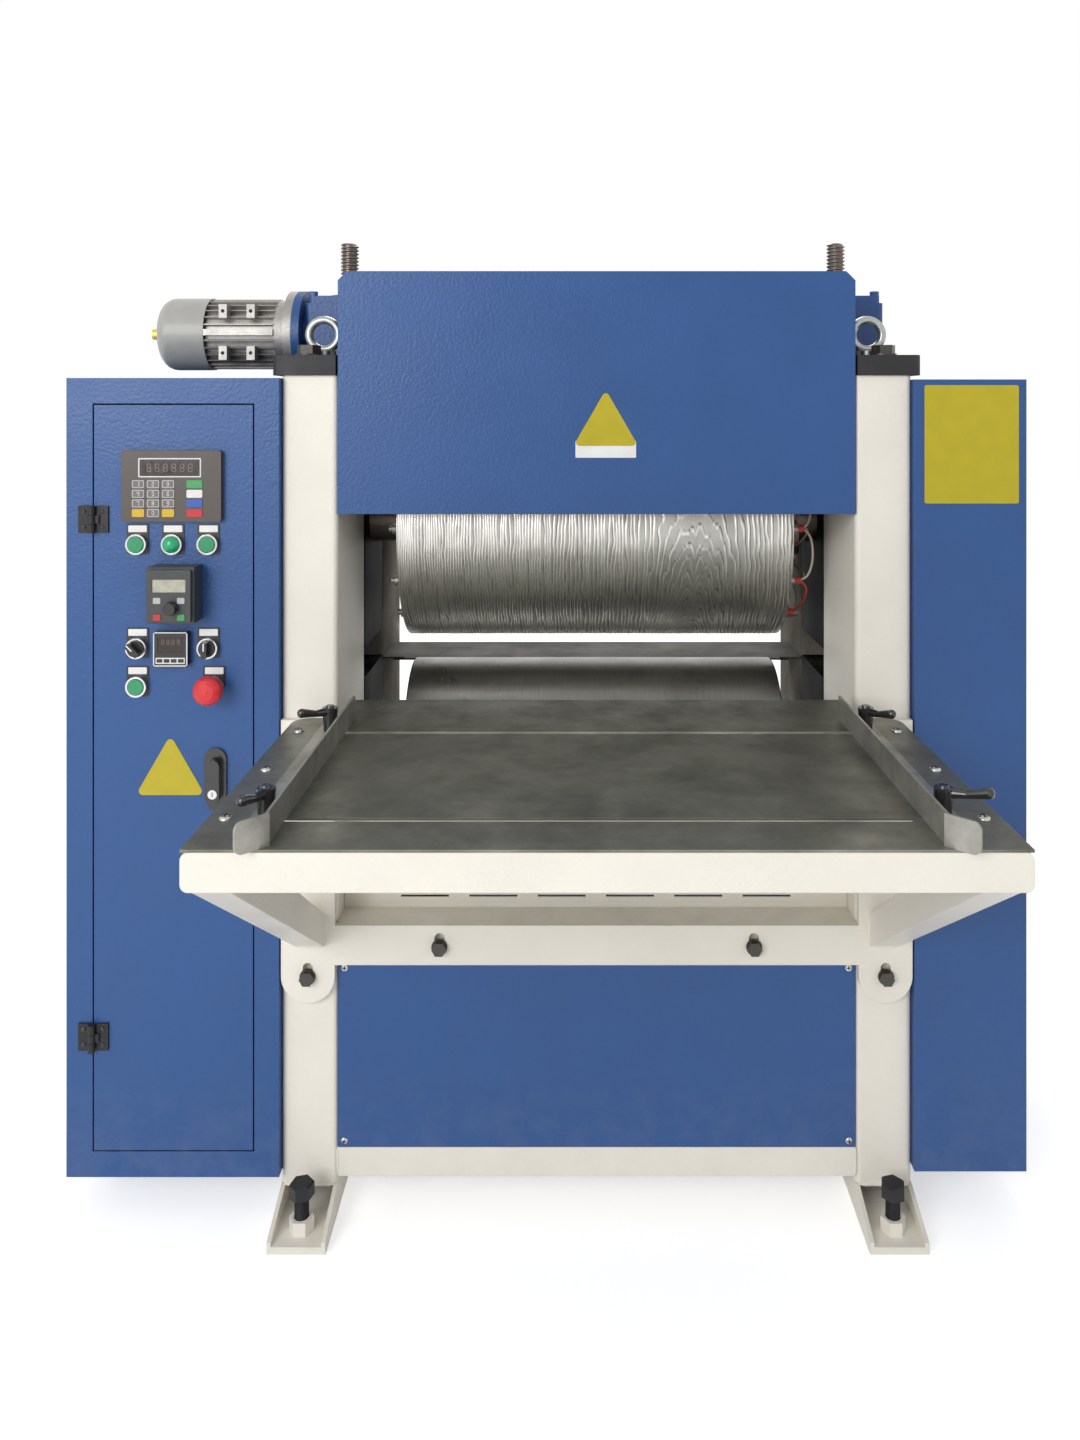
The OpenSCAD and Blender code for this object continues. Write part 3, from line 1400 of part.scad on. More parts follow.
// The right-hand fence, an angle with its front end flared outward and two square nuts under the table
module fence() {
  wall_x = fence_gap / 2;
  bend = flare_run / cos(45);
  difference() {
    union() {
      box([wall_x, -fence_front, table_z], [wall_x + fence_t, -fence_rear, table_z + fence_h]);
      box([wall_x, -fence_front + foot_start, table_z],
          [wall_x + fence_foot, -fence_rear, table_z + fence_t]);
    }
    for (y = slot_ys) translate([stud_x, y, table_z - 1])
      cylinder(d = stud_d + 2 * stud_clear, h = fence_t + 2);
  }
  translate([wall_x, -fence_front, table_z]) rotate([0, 0, 45]) rotate([90, 0, 90]) linear_extrude(fence_t)
    flare_outline(bend, flare_corner);
  for (y = slot_ys) difference() {
    box([stud_x - nut_side / 2, y - nut_side / 2, table_under - nut_h - plate_gap],
        [stud_x + nut_side / 2, y + nut_side / 2, table_under - plate_gap]);
    translate([stud_x, y, table_under - 2 * nut_h]) cylinder(d = stud_d + 2 * stud_clear, h = 2 * nut_h);
  }
}

module flare_outline(len, r) {
  square_from([-len + r, 0], [fence_t, fence_h]);
  square_from([-len, r], [-len + r + eps, fence_h - r]);
  for (z = [r, fence_h - r]) translate([-len + r, z]) circle(r);
}

module left_fence() color(steel) place() mirror([1, 0, 0]) fence();
module right_fence() color(steel) place() fence();

// A lever turned from pointing outward towards the front
module lever(side, index) {
  z0 = table_z + fence_t + lever_seat;
  arm_z = lever_hub_h - arm_drop;
  translate([side * stud_x, slot_ys[index], z0]) {
    cylinder(d1 = lever_hub_d - hub_taper, d2 = lever_hub_d, h = lever_hub_h);
    translate([0, 0, lever_hub_h - eps]) cylinder(d1 = lever_cap_d, d2 = lever_cap_d - 2, h = lever_cap_h);
    translate([0, 0, -fence_t - table_t - nut_h - stud_past])
      cylinder(d = stud_d, h = fence_t + table_t + nut_h + stud_past + 1);
    mirror([side < 0 ? 1 : 0, 0, 0]) rotate([0, 0, -lever_yaw[side < 0 ? 0 : 1][index]])
      for (i = [0 : len(arm_balls) - 2]) hull() for (ball = [arm_balls[i], arm_balls[i + 1]])
        translate([lever_arm * ball[0], 0, arm_z + ball[1]]) sphere(d = ball[2], $fn = 16);
  }
}

module left_rear_lever() color(dark) place() lever(-1, 0);
module left_front_lever() color(dark) place() lever(-1, 1);
module right_rear_lever() color(dark) place() lever(1, 0);
module right_front_lever() color(dark) place() lever(1, 1);

module jack_bolt(x, y) {
  translate([x, y, jack_tip_z]) {
    cylinder(d = jack_d, h = jack_len);
    translate([0, 0, jack_len - eps]) hex(jack_af, jack_af * head_share);
  }
}

module left_front_jack() color(dark) place() jack_bolt(-mid_x, jack_y[0]);
module right_front_jack() color(dark) place() jack_bolt(mid_x, jack_y[0]);
module left_rear_jack() color(dark) place() jack_bolt(-mid_x, jack_y[1]);
module right_rear_jack() color(dark) place() jack_bolt(mid_x, jack_y[1]);

posts();
foot_channels();
cross_rails();
top_plates();
frame_bolts();
lifting_eyes();
lower_panels();
roll_guards();
lower_bearings();
lift_gearboxes();
lift_motor();
lift_motor_fan_cover();
drive_gearmotor();
drive_chain();
outfeed_plate();
control_cabinet();
cabinet_gear();
hinge_leaves();
drive_guard();
upper_bearings();
lift_screws();
embossing_roll();
embossing_shaft();
heater_terminals();
heater_leads();
slip_ring();
pressure_roll();
pressure_roll_sprocket();
drive_sprocket();
lift_cross_shaft();
cabinet_door();
door_hinge_leaves();
counter_panel();
speed_keypad();
temperature_controller();
legend_plates();
button_bezels();
pilot_lamp();
lock_plate();
start_button();
feed_button();
heat_button();
stop_button();
left_selector();
right_selector();
speed_knob();
lock_handle();
lock_cylinder();
table_frame();
table_sheet();
left_fence();
right_fence();
left_rear_lever();
left_front_lever();
right_rear_lever();
right_front_lever();
left_front_jack();
right_front_jack();
left_rear_jack();
right_rear_jack();
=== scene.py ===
"""Looks of a floor-standing wood-grain embossing press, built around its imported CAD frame."""
import math

import bmesh
import bpy
import numpy as np
from mathutils import Matrix, Vector
from mathutils.geometry import interpolate_bezier


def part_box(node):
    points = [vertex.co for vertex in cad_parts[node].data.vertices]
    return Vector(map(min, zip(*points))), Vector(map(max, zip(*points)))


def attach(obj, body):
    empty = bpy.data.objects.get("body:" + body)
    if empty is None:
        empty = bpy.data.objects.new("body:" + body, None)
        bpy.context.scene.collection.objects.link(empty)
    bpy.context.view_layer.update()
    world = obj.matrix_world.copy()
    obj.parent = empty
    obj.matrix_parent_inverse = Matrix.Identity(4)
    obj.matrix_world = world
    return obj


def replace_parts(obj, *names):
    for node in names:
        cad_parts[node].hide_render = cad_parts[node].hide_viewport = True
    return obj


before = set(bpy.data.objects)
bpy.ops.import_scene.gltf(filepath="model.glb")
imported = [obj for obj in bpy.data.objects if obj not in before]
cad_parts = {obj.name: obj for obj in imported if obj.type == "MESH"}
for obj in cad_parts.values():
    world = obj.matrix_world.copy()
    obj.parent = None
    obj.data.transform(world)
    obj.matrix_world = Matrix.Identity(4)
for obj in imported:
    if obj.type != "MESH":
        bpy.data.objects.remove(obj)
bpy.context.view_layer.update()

bl_info = {
    "name": "Embossing press looks",
    "version": (1, 0, 0),
    "blender": (4, 5, 0),
    "location": "3D View > Sidebar > Press",
    "description": "Dresses the CAD frame of an embossing press and adds its fine pieces",
    "category": "Object",
}

MM = 0.001
TURN = 2 * math.pi
RIGHT_ANGLE = math.pi / 2
WHITE = (1, 1, 1, 1)


# Settings

def number_setting(name, description, default, **limits):
    return bpy.props.FloatProperty(name=name, description=description, default=default, **limits)


def length_setting(name, description, millimetres, least=0.0):
    return number_setting(name, description, millimetres * MM, min=least * MM, unit="LENGTH", subtype="DISTANCE")


def power_setting(name, description, watts):
    return number_setting(name, description, watts, min=0, unit="POWER", subtype="POWER")


def colour_setting(name, description, default):
    return bpy.props.FloatVectorProperty(
        name=name, description=description, default=default, subtype="COLOR", size=3, min=0, max=1)


class PressPaintSettings(bpy.types.PropertyGroup):
    """Colours and surface of the painted and bare metal."""
    blue: colour_setting("Cover blue", "Paint of the covers, cabinet and gearboxes", (0.020, 0.080, 0.252))
    cream: colour_setting("Frame cream", "Paint of the posts, feet and table frame", (0.84, 0.80, 0.715))
    table: colour_setting("Table steel", "Bare sheet of the infeed table", (0.192, 0.192, 0.158))
    fence: colour_setting("Fence steel", "Bare sheet of the side fences", (0.31, 0.302, 0.268))
    peel: number_setting("Orange peel", "Height of the ripple in the paint", 0.32, min=0, max=1)
    wear: number_setting("Edge wear", "How far the paint is rubbed at edges", 0.35, min=0, max=1)
    edge: length_setting("Edge radius", "Radius that softens the edges of painted plate", 1.2)


class PressGrainSettings(bpy.types.PropertyGroup):
    """Engraving of the heated roll."""
    pitch: length_setting("Wide pitch", "Distance between grain lines near the arches and to their right", 6.4, 1.0)
    arch_pitch: length_setting("Arch pitch", "Distance between grain lines in the middle of the arches", 15.0, 1.0)
    fine_pitch: length_setting("Fine pitch", "Distance between grain lines at the roll's left end", 4.6, 1.0)
    ridge: length_setting("Ridge", "Half width of a grain ridge", 1.15, 0.3)
    depth: length_setting("Relief", "Height of a grain ridge", 0.9)
    arch_x: number_setting("Arch place", "Middle of the arched grain, from the roll's middle", 0.152,
                           unit="LENGTH", subtype="DISTANCE")
    arch_lines: number_setting("Arch lines", "Lines that the arches gather on each side of their middle", 9.0)
    step_x: length_setting("Step along", "Mesh step along the roll", 0.72, 0.3)
    step_round: length_setting("Step round", "Mesh step round the roll", 4.8, 1.0)


class PressWireSettings(bpy.types.PropertyGroup):
    """Wires on the heated roll's right end."""
    count: bpy.props.IntProperty(name="Heaters", description="Heater ends round the roll", default=12, min=1)
    ring: length_setting("Ring radius", "Radius of the bound ring of leads", 84, 10)
    hub: length_setting("Shaft", "Diameter of the shaft that carries the ring", 80, 10)
    wire: length_setting("Wire", "Diameter of a wire with its sleeve", 3.6, 1.0)


class PressStageSettings(bpy.types.PropertyGroup):
    """Camera and light."""
    camera: bpy.props.FloatVectorProperty(
        name="Camera", description="Camera place", size=3, subtype="TRANSLATION", unit="LENGTH",
        default=(0.036, -1.613, 1.148))
    lens: number_setting("Lens", "Focal length in millimetres", 27.0, min=1)
    shift: bpy.props.FloatVectorProperty(
        name="Shift", description="Sideways and upward lens shift", size=2, default=(-0.0222, -0.2188))
    key: power_setting("Key light", "Soft light from the left", 74.0)
    fill: power_setting("Fill light", "Soft light from the right", 5.0)
    rear: power_setting("Rear light", "Soft light from behind", 60.0)
    sky: number_setting("Sky", "Level of the white surroundings", 0.58, min=0)
    floor: number_setting("Floor", "Lightness of the floor", 0.86, min=0, max=1)
    lift: number_setting("Floor lift", "White added to the floor as the camera sees it", 0.5, min=0)


# Shader graphs

NOISE_LOW, NOISE_HIGH = 0.3, 0.7  # noise seldom goes beyond these


def rgba(colour, gain=1.0):
    return (*[min(1.0, c * gain) for c in colour], 1.0)


class Graph:
    """Adds shader nodes to a tree and joins them."""

    def __init__(self, tree):
        self.tree = tree

    def feed(self, socket, value):
        if isinstance(value, bpy.types.NodeSocket):
            self.tree.links.new(value, socket)
        else:
            socket.default_value = value

    def add(self, kind, inputs=None, **settings):
        node = self.tree.nodes.new("ShaderNode" + kind)
        for key, value in settings.items():
            setattr(node, key, value)
        for key, value in (inputs or {}).items():
            self.feed(node.inputs[key], value)
        return node

    def math(self, operation, a, b):
        return self.add("Math", {0: a, 1: b}, operation=operation).outputs[0]

    def product(self, first, *others):
        for other in others:
            first = self.math("MULTIPLY", first, other)
        return first

    def mix(self, factor, a, b):
        return self.add("Mix", {0: factor, 6: a, 7: b}, data_type="RGBA").outputs[2]

    def span(self, value, low, high, to_low=0.0, to_high=1.0):
        return self.add("MapRange", {"Value": value, "From Min": low, "From Max": high,
                                     "To Min": to_low, "To Max": to_high}).outputs[0]

    def spread(self, noise, to_low=0.0, to_high=1.0):
        """Noise drawn out over a whole range."""
        return self.span(noise, NOISE_LOW, NOISE_HIGH, to_low, to_high)

    def tones(self, noise, colour, dark, pale):
        """A colour that noise darkens and lightens by two gains."""
        return self.mix(self.spread(noise), rgba(colour, dark), rgba(colour, pale))

    def noise(self, vector, scale, detail, rough=0.5):
        inputs = {"Vector": vector, "Scale": scale, "Detail": detail, "Roughness": rough}
        return self.add("TexNoise", inputs).outputs[0]

    def bump(self, height, strength, distance, **normal):
        return self.add("Bump", {"Height": height, "Strength": strength, "Distance": distance, **normal}).outputs[0]

    def place(self, stretch=(1, 1, 1), turn=(0, 0, 0)):
        own = self.add("TexCoord").outputs["Object"]
        return self.add("Mapping", {"Vector": own, "Scale": stretch, "Rotation": turn}).outputs[0]

    def normal(self):
        return self.add("NewGeometry").outputs["Normal"]

    def split(self, vector):
        return self.add("SeparateXYZ", {0: vector}).outputs

    def call(self, name, inputs):
        """What a shared effect puts out."""
        return self.add("Group", inputs, node_tree=bpy.data.node_groups[name]).outputs


VECTOR_SOCKETS = {"Normal", "Stretch"}
EFFECTS = {}


def effect(name, *inputs):
    """Marks the function of a shader group. It takes a graph and inputs, and gives what the group puts out by name."""
    def mark(build):
        EFFECTS[name] = inputs, build
        return build
    return mark


def add_sockets(tree, names, in_out):
    for name in names:
        kind = "NodeSocketVector" if name in VECTOR_SOCKETS else "NodeSocketFloat"
        tree.interface.new_socket(name, in_out=in_out, socket_type=kind)


def build_effects():
    """Makes every shader group once."""
    for name, (inputs, build) in EFFECTS.items():
        tree = bpy.data.node_groups.new(name, "ShaderNodeTree")
        add_sockets(tree, inputs, "INPUT")
        graph = Graph(tree)
        made = build(graph, tree.nodes.new("NodeGroupInput").outputs)
        add_sockets(tree, made, "OUTPUT")
        out = tree.nodes.new("NodeGroupOutput").inputs
        for key, value in made.items():
            graph.feed(out[key], value)


@effect("Soft edge", "Radius")
def soft_edge(g, given):
    """Rounds edges in the shading and finds where they are."""
    bevel = g.add("Bevel", {"Radius": given["Radius"]}, samples=4).outputs[0]
    facing = g.add("VectorMath", {0: bevel, 1: g.normal()}, operation="DOT_PRODUCT").outputs["Value"]
    return {"Normal": bevel, "Edge": g.span(facing, 0.985, 0.86)}


@effect("Orange peel", "Strength", "Normal")
def orange_peel(g, given):
    """The fine ripple of sprayed paint, and a slow value for its tone."""
    own = g.place()
    ripple = g.noise(own, 240.0, 2.0)
    normal = g.bump(ripple, given["Strength"], 1.6 * MM, Normal=given["Normal"])
    return {"Normal": normal, "Value": g.noise(own, 9.0, 2.0)}


@effect("Workshop dust", "Amount")
def workshop_dust(g, given):
    """Patches of grey dust on upward faces and near the floor, and the even film that dulls upward faces."""
    own = g.place()
    settled = g.span(g.split(g.normal())["Z"], 0.6, 1.0)
    low = g.span(g.split(own)["Z"], 0.22, 0.0, 0.0, 0.5)
    patch = g.span(g.noise(own, 26.0, 5.0, 0.65), 0.42, 0.72)
    return {"Mask": g.product(g.math("MAXIMUM", settled, low), patch, given["Amount"]), "Film": settled}


@effect("Oil haze", "Depth", "Low", "High", "Amount")
def painted_inner_shade(g, given):
    """Mask of painted shade on the inner faces round the hot roll, behind a depth and between two heights."""
    own = g.place()
    place, facing = g.split(own), g.split(g.normal())
    behind = g.span(g.math("SUBTRACT", place["Y"], given["Depth"]), -0.06, 0.0)
    above = g.span(g.math("SUBTRACT", place["Z"], given["Low"]), 0.0, 0.15)
    below = g.span(g.math("SUBTRACT", place["Z"], given["High"]), 0.3, 0.0)
    inward = g.span(g.product(place["X"], facing["X"]), 0.05, 0.01)
    forward = g.span(facing["Y"], 0.5, 0.1)
    patch = g.span(g.noise(own, 8.0, 5.0, 0.6), 0.25, 0.6, 0.75, 1.0)
    return {"Mask": g.product(given["Amount"], behind, above, below, inward, forward, patch)}


@effect("Tool marks", "Stretch", "Strength", "Normal")
def tool_marks(g, given):
    """Tool marks drawn out along one axis."""
    own = g.add("TexCoord").outputs["Object"]
    drawn = g.add("VectorMath", {0: own, 1: given["Stretch"]}, operation="MULTIPLY").outputs[0]
    lines = g.noise(drawn, 1.0, 4.0, 0.6)
    return {"Value": lines, "Normal": g.bump(lines, given["Strength"], 0.4 * MM, Normal=given["Normal"])}


@effect("Mottle", "Scale")
def mottle(g, given):
    """Clouds, stains and crossed scratches in bare sheet."""
    own = g.place()
    cloud = g.noise(own, given["Scale"], 6.0, 0.62)
    spots = g.noise(own, g.product(given["Scale"], 5.0), 4.0, 0.7)
    strokes = [g.span(g.noise(g.place((3, 160, 3), (0, 0, turn)), 1.0, 2.0), 0.68, 0.76) for turn in (0.3, -0.5)]
    return {"Cloud": g.spread(cloud), "Spots": g.span(spots, 0.56, 0.74), "Scratch": g.math("MAXIMUM", *strokes)}


# Materials

# colour of the painted shade on the inner faces round the roll
INNER_SHADE_COLOUR = (0.085, 0.077, 0.058, 1)
GREY_DUST = (0.42, 0.40, 0.37, 1)
# painted shadow in the dips beside the grain's ridges
GROOVE_SHADOW = (0.155, 0.15, 0.135, 1)
GROUND_DARK, GROUND_PALE = (0.44, 0.435, 0.405, 1), (0.60, 0.59, 0.555, 1)
METAL_EDGE, FINE_EDGE = 0.6 * MM, 0.5 * MM


def new_material(name, build, *values):
    """A material. build takes its graph and the values, and gives what its shader takes by name."""
    material = bpy.data.materials.new(name)
    material.use_nodes = True
    graph = Graph(material.node_tree)
    shader = material.node_tree.nodes["Principled BSDF"].inputs
    for key, value in build(graph, *values).items():
        graph.feed(shader[key], value)
    return material


def painted(g, colour, under, rough, dust, haze, shine):
    """Sprayed paint, rubbed thin at its edges."""
    paint = bpy.context.scene.press_paint
    edge = g.call("Soft edge", {"Radius": paint.edge})
    peel = g.call("Orange peel", {"Strength": paint.peel, "Normal": edge["Normal"]})
    fine = g.noise(g.place(), 60.0, 4.0, 0.7)
    rubbed = g.product(edge["Edge"], g.span(fine, 0.45, 0.62), paint.wear)
    worn = g.mix(rubbed, g.tones(peel["Value"], colour, 0.97, 1.03), rgba(under))
    dulled = g.call("Workshop dust", {"Amount": dust})
    level = g.span(dulled["Film"], 0.0, 1.0, shine, 0.08 * shine)
    # painted shade: the inner faces round the roll are darkened and lose their shine
    if haze:
        inner_shade_mask = g.call("Oil haze", {"Depth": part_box("posts")[1].y - 0.2, "Low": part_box("lower_panels")[1].z,
                                  "High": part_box("roll_guards")[0].z, "Amount": haze})["Mask"]
        worn = g.mix(inner_shade_mask, worn, INNER_SHADE_COLOUR)
        level = g.product(level, g.span(inner_shade_mask, 0.0, 0.7, 1.0, 0.0))
    gloss = g.spread(peel["Value"], rough - 0.04, rough + 0.06)
    return {
        "Base Color": g.mix(dulled["Mask"], worn, GREY_DUST),
        "Specular IOR Level": level,
        "Roughness": g.math("ADD", g.product(dulled["Mask"], 0.3), gloss),
        "Normal": peel["Normal"],
    }


def machined(g, colour, stretch, rough, depth, metal=1.0, stain=0.35):
    """Turned, ground or drawn metal with its tool marks."""
    edge = g.call("Soft edge", {"Radius": METAL_EDGE})
    marks = g.call("Tool marks", {"Stretch": stretch, "Strength": depth, "Normal": edge["Normal"]})
    cloud = g.noise(g.place(), 14.0, 5.0, 0.6)
    tone = g.tones(marks["Value"], colour, 0.86, 1.1)
    return {
        "Base Color": g.mix(g.span(cloud, 0.5, 0.75, 0.0, stain), tone, rgba(colour, 0.62)),
        "Roughness": g.spread(cloud, rough - 0.06, rough + 0.1),
        "Normal": marks["Normal"],
        "Metallic": metal,
    }


def sheet(g, colour, stain, rough, metal):
    """Bare sheet with clouds, handling stains and scratches."""
    edge = g.call("Soft edge", {"Radius": FINE_EDGE})
    marks = g.call("Mottle", {"Scale": 11.0})
    tone = g.mix(marks["Cloud"], rgba(colour, 0.56), rgba(colour, 1.44))
    stained = g.mix(g.product(marks["Spots"], 0.6), tone, rgba(stain))
    scratched = g.mix(g.product(marks["Scratch"], 0.25), stained, rgba(colour, 1.7))
    return {
        "Base Color": g.mix(g.product(edge["Edge"], 0.5), scratched, rgba(colour, 1.9)),
        "Roughness": g.span(marks["Cloud"], 0, 1, rough + 0.12, rough - 0.1),
        "Normal": edge["Normal"],
        "Metallic": metal,
    }


def moulded(g, colour, rough, grain, coat=0.0):
    """Moulded plastic with a fine grain and paler edges."""
    edge = g.call("Soft edge", {"Radius": FINE_EDGE})
    own = g.place()
    cloud = g.noise(own, 40.0, 3.0)
    pale = rgba([c * 1.3 + 0.02 for c in colour])
    return {
        "Base Color": g.mix(g.product(edge["Edge"], 0.35), g.tones(cloud, colour, 0.96, 1.04), pale),
        "Roughness": g.spread(cloud, rough - 0.05, rough + 0.07),
        "Normal": g.bump(g.noise(own, 900.0, 2.0), grain, 0.3 * MM, Normal=edge["Normal"]),
        "Coat Weight": coat,
    }


def engraved(g, ridge):
    """The roll's skin: rubbed ridges painted bright as a highlight and the dips beside them painted dark as their
    shadow, over a dull ground, from the relief's own height.
    """
    relief = g.add("Attribute", attribute_name="relief").outputs["Fac"]
    own = g.place()
    soot = g.noise(own, 16.0, 5.0, 0.65)
    ground = g.mix(g.span(soot, 0.35, 0.7), GROUND_DARK, GROUND_PALE)
    # painted shadow: the dips beside the ridges are darkened
    groove = g.mix(g.span(relief, 0.02, 0.24), GROOVE_SHADOW, ground)
    return {
        # painted highlight: the ridges are brightened
        "Base Color": g.mix(g.span(relief, 0.42, 0.8), groove, rgba(ridge)),
        "Roughness": g.span(relief, 0.2, 1.0, 0.46, 0.27),
        "Normal": g.bump(g.noise(own, 700.0, 2.0), 0.12, 0.3 * MM),
        "Metallic": 1.0,
    }


def glow(g, colour, level):
    """A lit lens or display with a little unevenness."""
    cloud = g.noise(g.place(), 120.0, 3.0)
    tone = g.tones(cloud, colour, 0.85, 1.15)
    return {"Base Color": tone, "Emission Color": tone, "Roughness": g.spread(cloud, 0.14, 0.24),
            "Emission Strength": level}


# Material to CAD nodes
DRESS = {
    "cream_paint": "posts foot_channels cross_rails table_frame",
    "blue_paint": "lower_panels roll_guards lift_gearboxes drive_gearmotor control_cabinet drive_guard cabinet_door",
    "black_paint": "lower_bearings upper_bearings",
    "black_oxide": "top_plates drive_chain hinge_leaves door_hinge_leaves "
                   "left_front_jack right_front_jack left_rear_jack right_rear_jack",
    "zinc_plate": "lifting_eyes",
    "burnt_bolts": "frame_bolts",
    # the lift screws are oiled; the roll's shaft takes this dark steel as painted shade
    "oiled_steel": "lift_screws embossing_shaft",
    "turned_steel": "embossing_roll pressure_roll_sprocket drive_sprocket",
    "ground_steel": "pressure_roll",
    "cast_aluminium": "lift_motor heater_terminals",
    "bronze": "slip_ring lift_cross_shaft",
    "plated_ring": "button_bezels lock_cylinder",
    "table_steel": "table_sheet",
    "outfeed_steel": "outfeed_plate",
    "fence_steel": "left_fence right_fence",
    "black_gloss": "lock_plate lock_handle left_rear_lever left_front_lever right_rear_lever right_front_lever",
    "black_plastic": "temperature_controller legend_plates left_selector right_selector speed_knob",
    "fan_cover_grey": "lift_motor_fan_cover",
    "white_sleeve": "heater_leads",
    "panel_brown": "counter_panel",
    "panel_grey": "speed_keypad",
    "gear_grey": "cabinet_gear",
    "green_cap": "start_button feed_button heat_button",
    "red_head": "stop_button",
    "green_lens": "pilot_lamp",
}

# Fineness of tool marks round and along the roll's axis
AROUND, ALONG = (60, 900, 900), (900, 40, 40)

# Kind of surface to its materials. A word stands for the setting that holds the colour
RECIPES = {
    painted: {  # colour, what shows where it is rubbed, roughness, dust, painted inner shade, shine
        "cream_paint": ("cream", (0.5, 0.47, 0.42), 0.40, 0.18, 0.85, 0.3),
        "blue_paint": ("blue", (0.16, 0.25, 0.45), 0.35, 0.25, 0.0, 0.46),
        "black_paint": ((0.010, 0.010, 0.010), (0.05, 0.048, 0.045), 0.6, 0.1, 0.0, 0.04),
    },
    machined: {  # colour, fineness of the marks along each axis, roughness, their depth, metal, stain
        "black_oxide": ((0.030, 0.030, 0.032), (60, 60, 60), 0.5, 0.2, 0.55),
        "zinc_plate": ((0.42, 0.435, 0.42), (120, 120, 120), 0.28, 0.12, 0.9),
        "burnt_bolts": ((0.075, 0.070, 0.062), (160, 160, 160), 0.38, 0.2, 0.7),
        "oiled_steel": ((0.23, 0.19, 0.165), (120, 120, 120), 0.34, 0.15, 0.85),
        "turned_steel": ((0.42, 0.42, 0.41), ALONG, 0.30, 0.18),
        "ground_steel": ((0.33, 0.326, 0.307), ALONG, 0.31, 0.10, 1.0, 0.06),
        "bright_steel": ((0.55, 0.55, 0.54), (200, 200, 200), 0.28, 0.1),
        "cast_aluminium": ((0.38, 0.365, 0.345), (240, 240, 240), 0.5, 0.35, 0.85),
        "bronze": ((0.78, 0.56, 0.13), AROUND, 0.36, 0.15, 0.8),
        "plated_ring": ((0.60, 0.60, 0.60), (90, 90, 90), 0.18, 0.05),
    },
    sheet: {  # colour, colour of the stains, roughness, metal
        "table_steel": ("table", (0.20, 0.17, 0.12), 0.42, 0.75),
        # the outfeed plate is painted far darker and duller than the table's steel, as painted shade between the rolls
        "outfeed_steel": ((0.075, 0.069, 0.054), (0.05, 0.045, 0.036), 0.62, 0.15),
        "fence_steel": ("fence", (0.24, 0.26, 0.27), 0.40, 0.6),
    },
    moulded: {  # colour, roughness, grain, coat
        "black_gloss": ((0.014, 0.014, 0.015), 0.24, 0.05, 0.4),
        "black_plastic": ((0.018, 0.018, 0.019), 0.38, 0.1),
        "fan_cover_grey": ((0.40, 0.395, 0.37), 0.38, 0.1, 0.15),
        "red_sleeve": ((0.55, 0.06, 0.045), 0.5, 0.3),
        "white_sleeve": ((0.46, 0.42, 0.33), 0.66, 0.5),
        "panel_brown": ((0.068, 0.054, 0.046), 0.38, 0.08),
        "panel_grey": ((0.040, 0.043, 0.046), 0.45, 0.2),
        "gear_grey": ((0.52, 0.53, 0.52), 0.5, 0.1),
        "green_cap": ((0.012, 0.27, 0.105), 0.26, 0.04, 0.3),
        "red_head": ((0.64, 0.022, 0.026), 0.36, 0.04, 0.1),
        "key_grey": ((0.44, 0.45, 0.46), 0.5, 0.1),
        "key_dark": ((0.155, 0.135, 0.125), 0.45, 0.1),
        "key_white": ((0.74, 0.74, 0.72), 0.5, 0.1),
        "key_yellow": ((0.62, 0.40, 0.02), 0.5, 0.1),
        "key_blue": ((0.03, 0.10, 0.42), 0.5, 0.1),
        "key_green": ((0.05, 0.33, 0.10), 0.5, 0.1),
        "key_red": ((0.50, 0.03, 0.03), 0.5, 0.1),
        # black for print, and painted shade in screw crosses and duct slots
        "ink": ((0.02, 0.02, 0.022), 0.5, 0.05),
        "plate_yellow": ((0.47, 0.385, 0.002), 0.34, 0.04, 0.1),
        "plate_white": ((0.80, 0.80, 0.78), 0.34, 0.04, 0.2),
    },
    glow: {  # colour, level
        "green_lens": ((0.015, 0.34, 0.15), 0.12),
        "smoked_window": ((0.030, 0.018, 0.016), 0.02),
        "dim_segment": ((0.20, 0.17, 0.13), 0.05),
        "pale_display": ((0.46, 0.45, 0.36), 0.05),
    },
    engraved: {"engraved_steel": ((0.76, 0.745, 0.70),)},  # colour of the rubbed ridges, brightened as a painted highlight
}


def build_materials(paint):
    """Every material of the press by its name."""
    made = {}
    for kind, named in RECIPES.items():
        for name, (colour, *values) in named.items():
            colour = getattr(paint, colour) if isinstance(colour, str) else colour
            made[name] = new_material(name, kind, colour, *values)
    return made


MATERIALS = {}


# Mesh pieces

CORNER_STEPS = 5


def put(name, data):
    """A new object in the scene."""
    thing = bpy.data.objects.new(name, data)
    bpy.context.scene.collection.objects.link(thing)
    return thing


def middle(node):
    low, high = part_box(node)
    return (low + high) / 2


def seat(point, turn=0.0, axis="X"):
    """A matrix at a point, turned about an axis. Lengths on it are in millimetres."""
    return Matrix.Translation(point) @ Matrix.Rotation(turn, 4, axis) @ Matrix.Scale(MM, 4)


def facing_front(x, y, z):
    """A seat at a point of a front face: X to the right, Y up, Z out towards the operator."""
    return seat((x, y, z), RIGHT_ANGLE)


def front(node, inset=0.0):
    """A seat at the middle of a node's front, set in by some millimetres."""
    centre = middle(node)
    return facing_front(centre.x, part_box(node)[0].y + inset * MM, centre.z)


def arc(radius, first, last, steps, x=0.0, y=0.0):
    """Points from one angle to another round a centre."""
    turns = [first + (last - first) * i / steps for i in range(steps + 1)]
    return [(x + radius * math.cos(t), y + radius * math.sin(t)) for t in turns]


def rectangle(half_width, half_height, x=0.0, y=0.0):
    """The corners of a rectangle about a centre."""
    return [(x + sx * half_width, y + sy * half_height) for sx, sy in ((-1, -1), (1, -1), (1, 1), (-1, 1))]


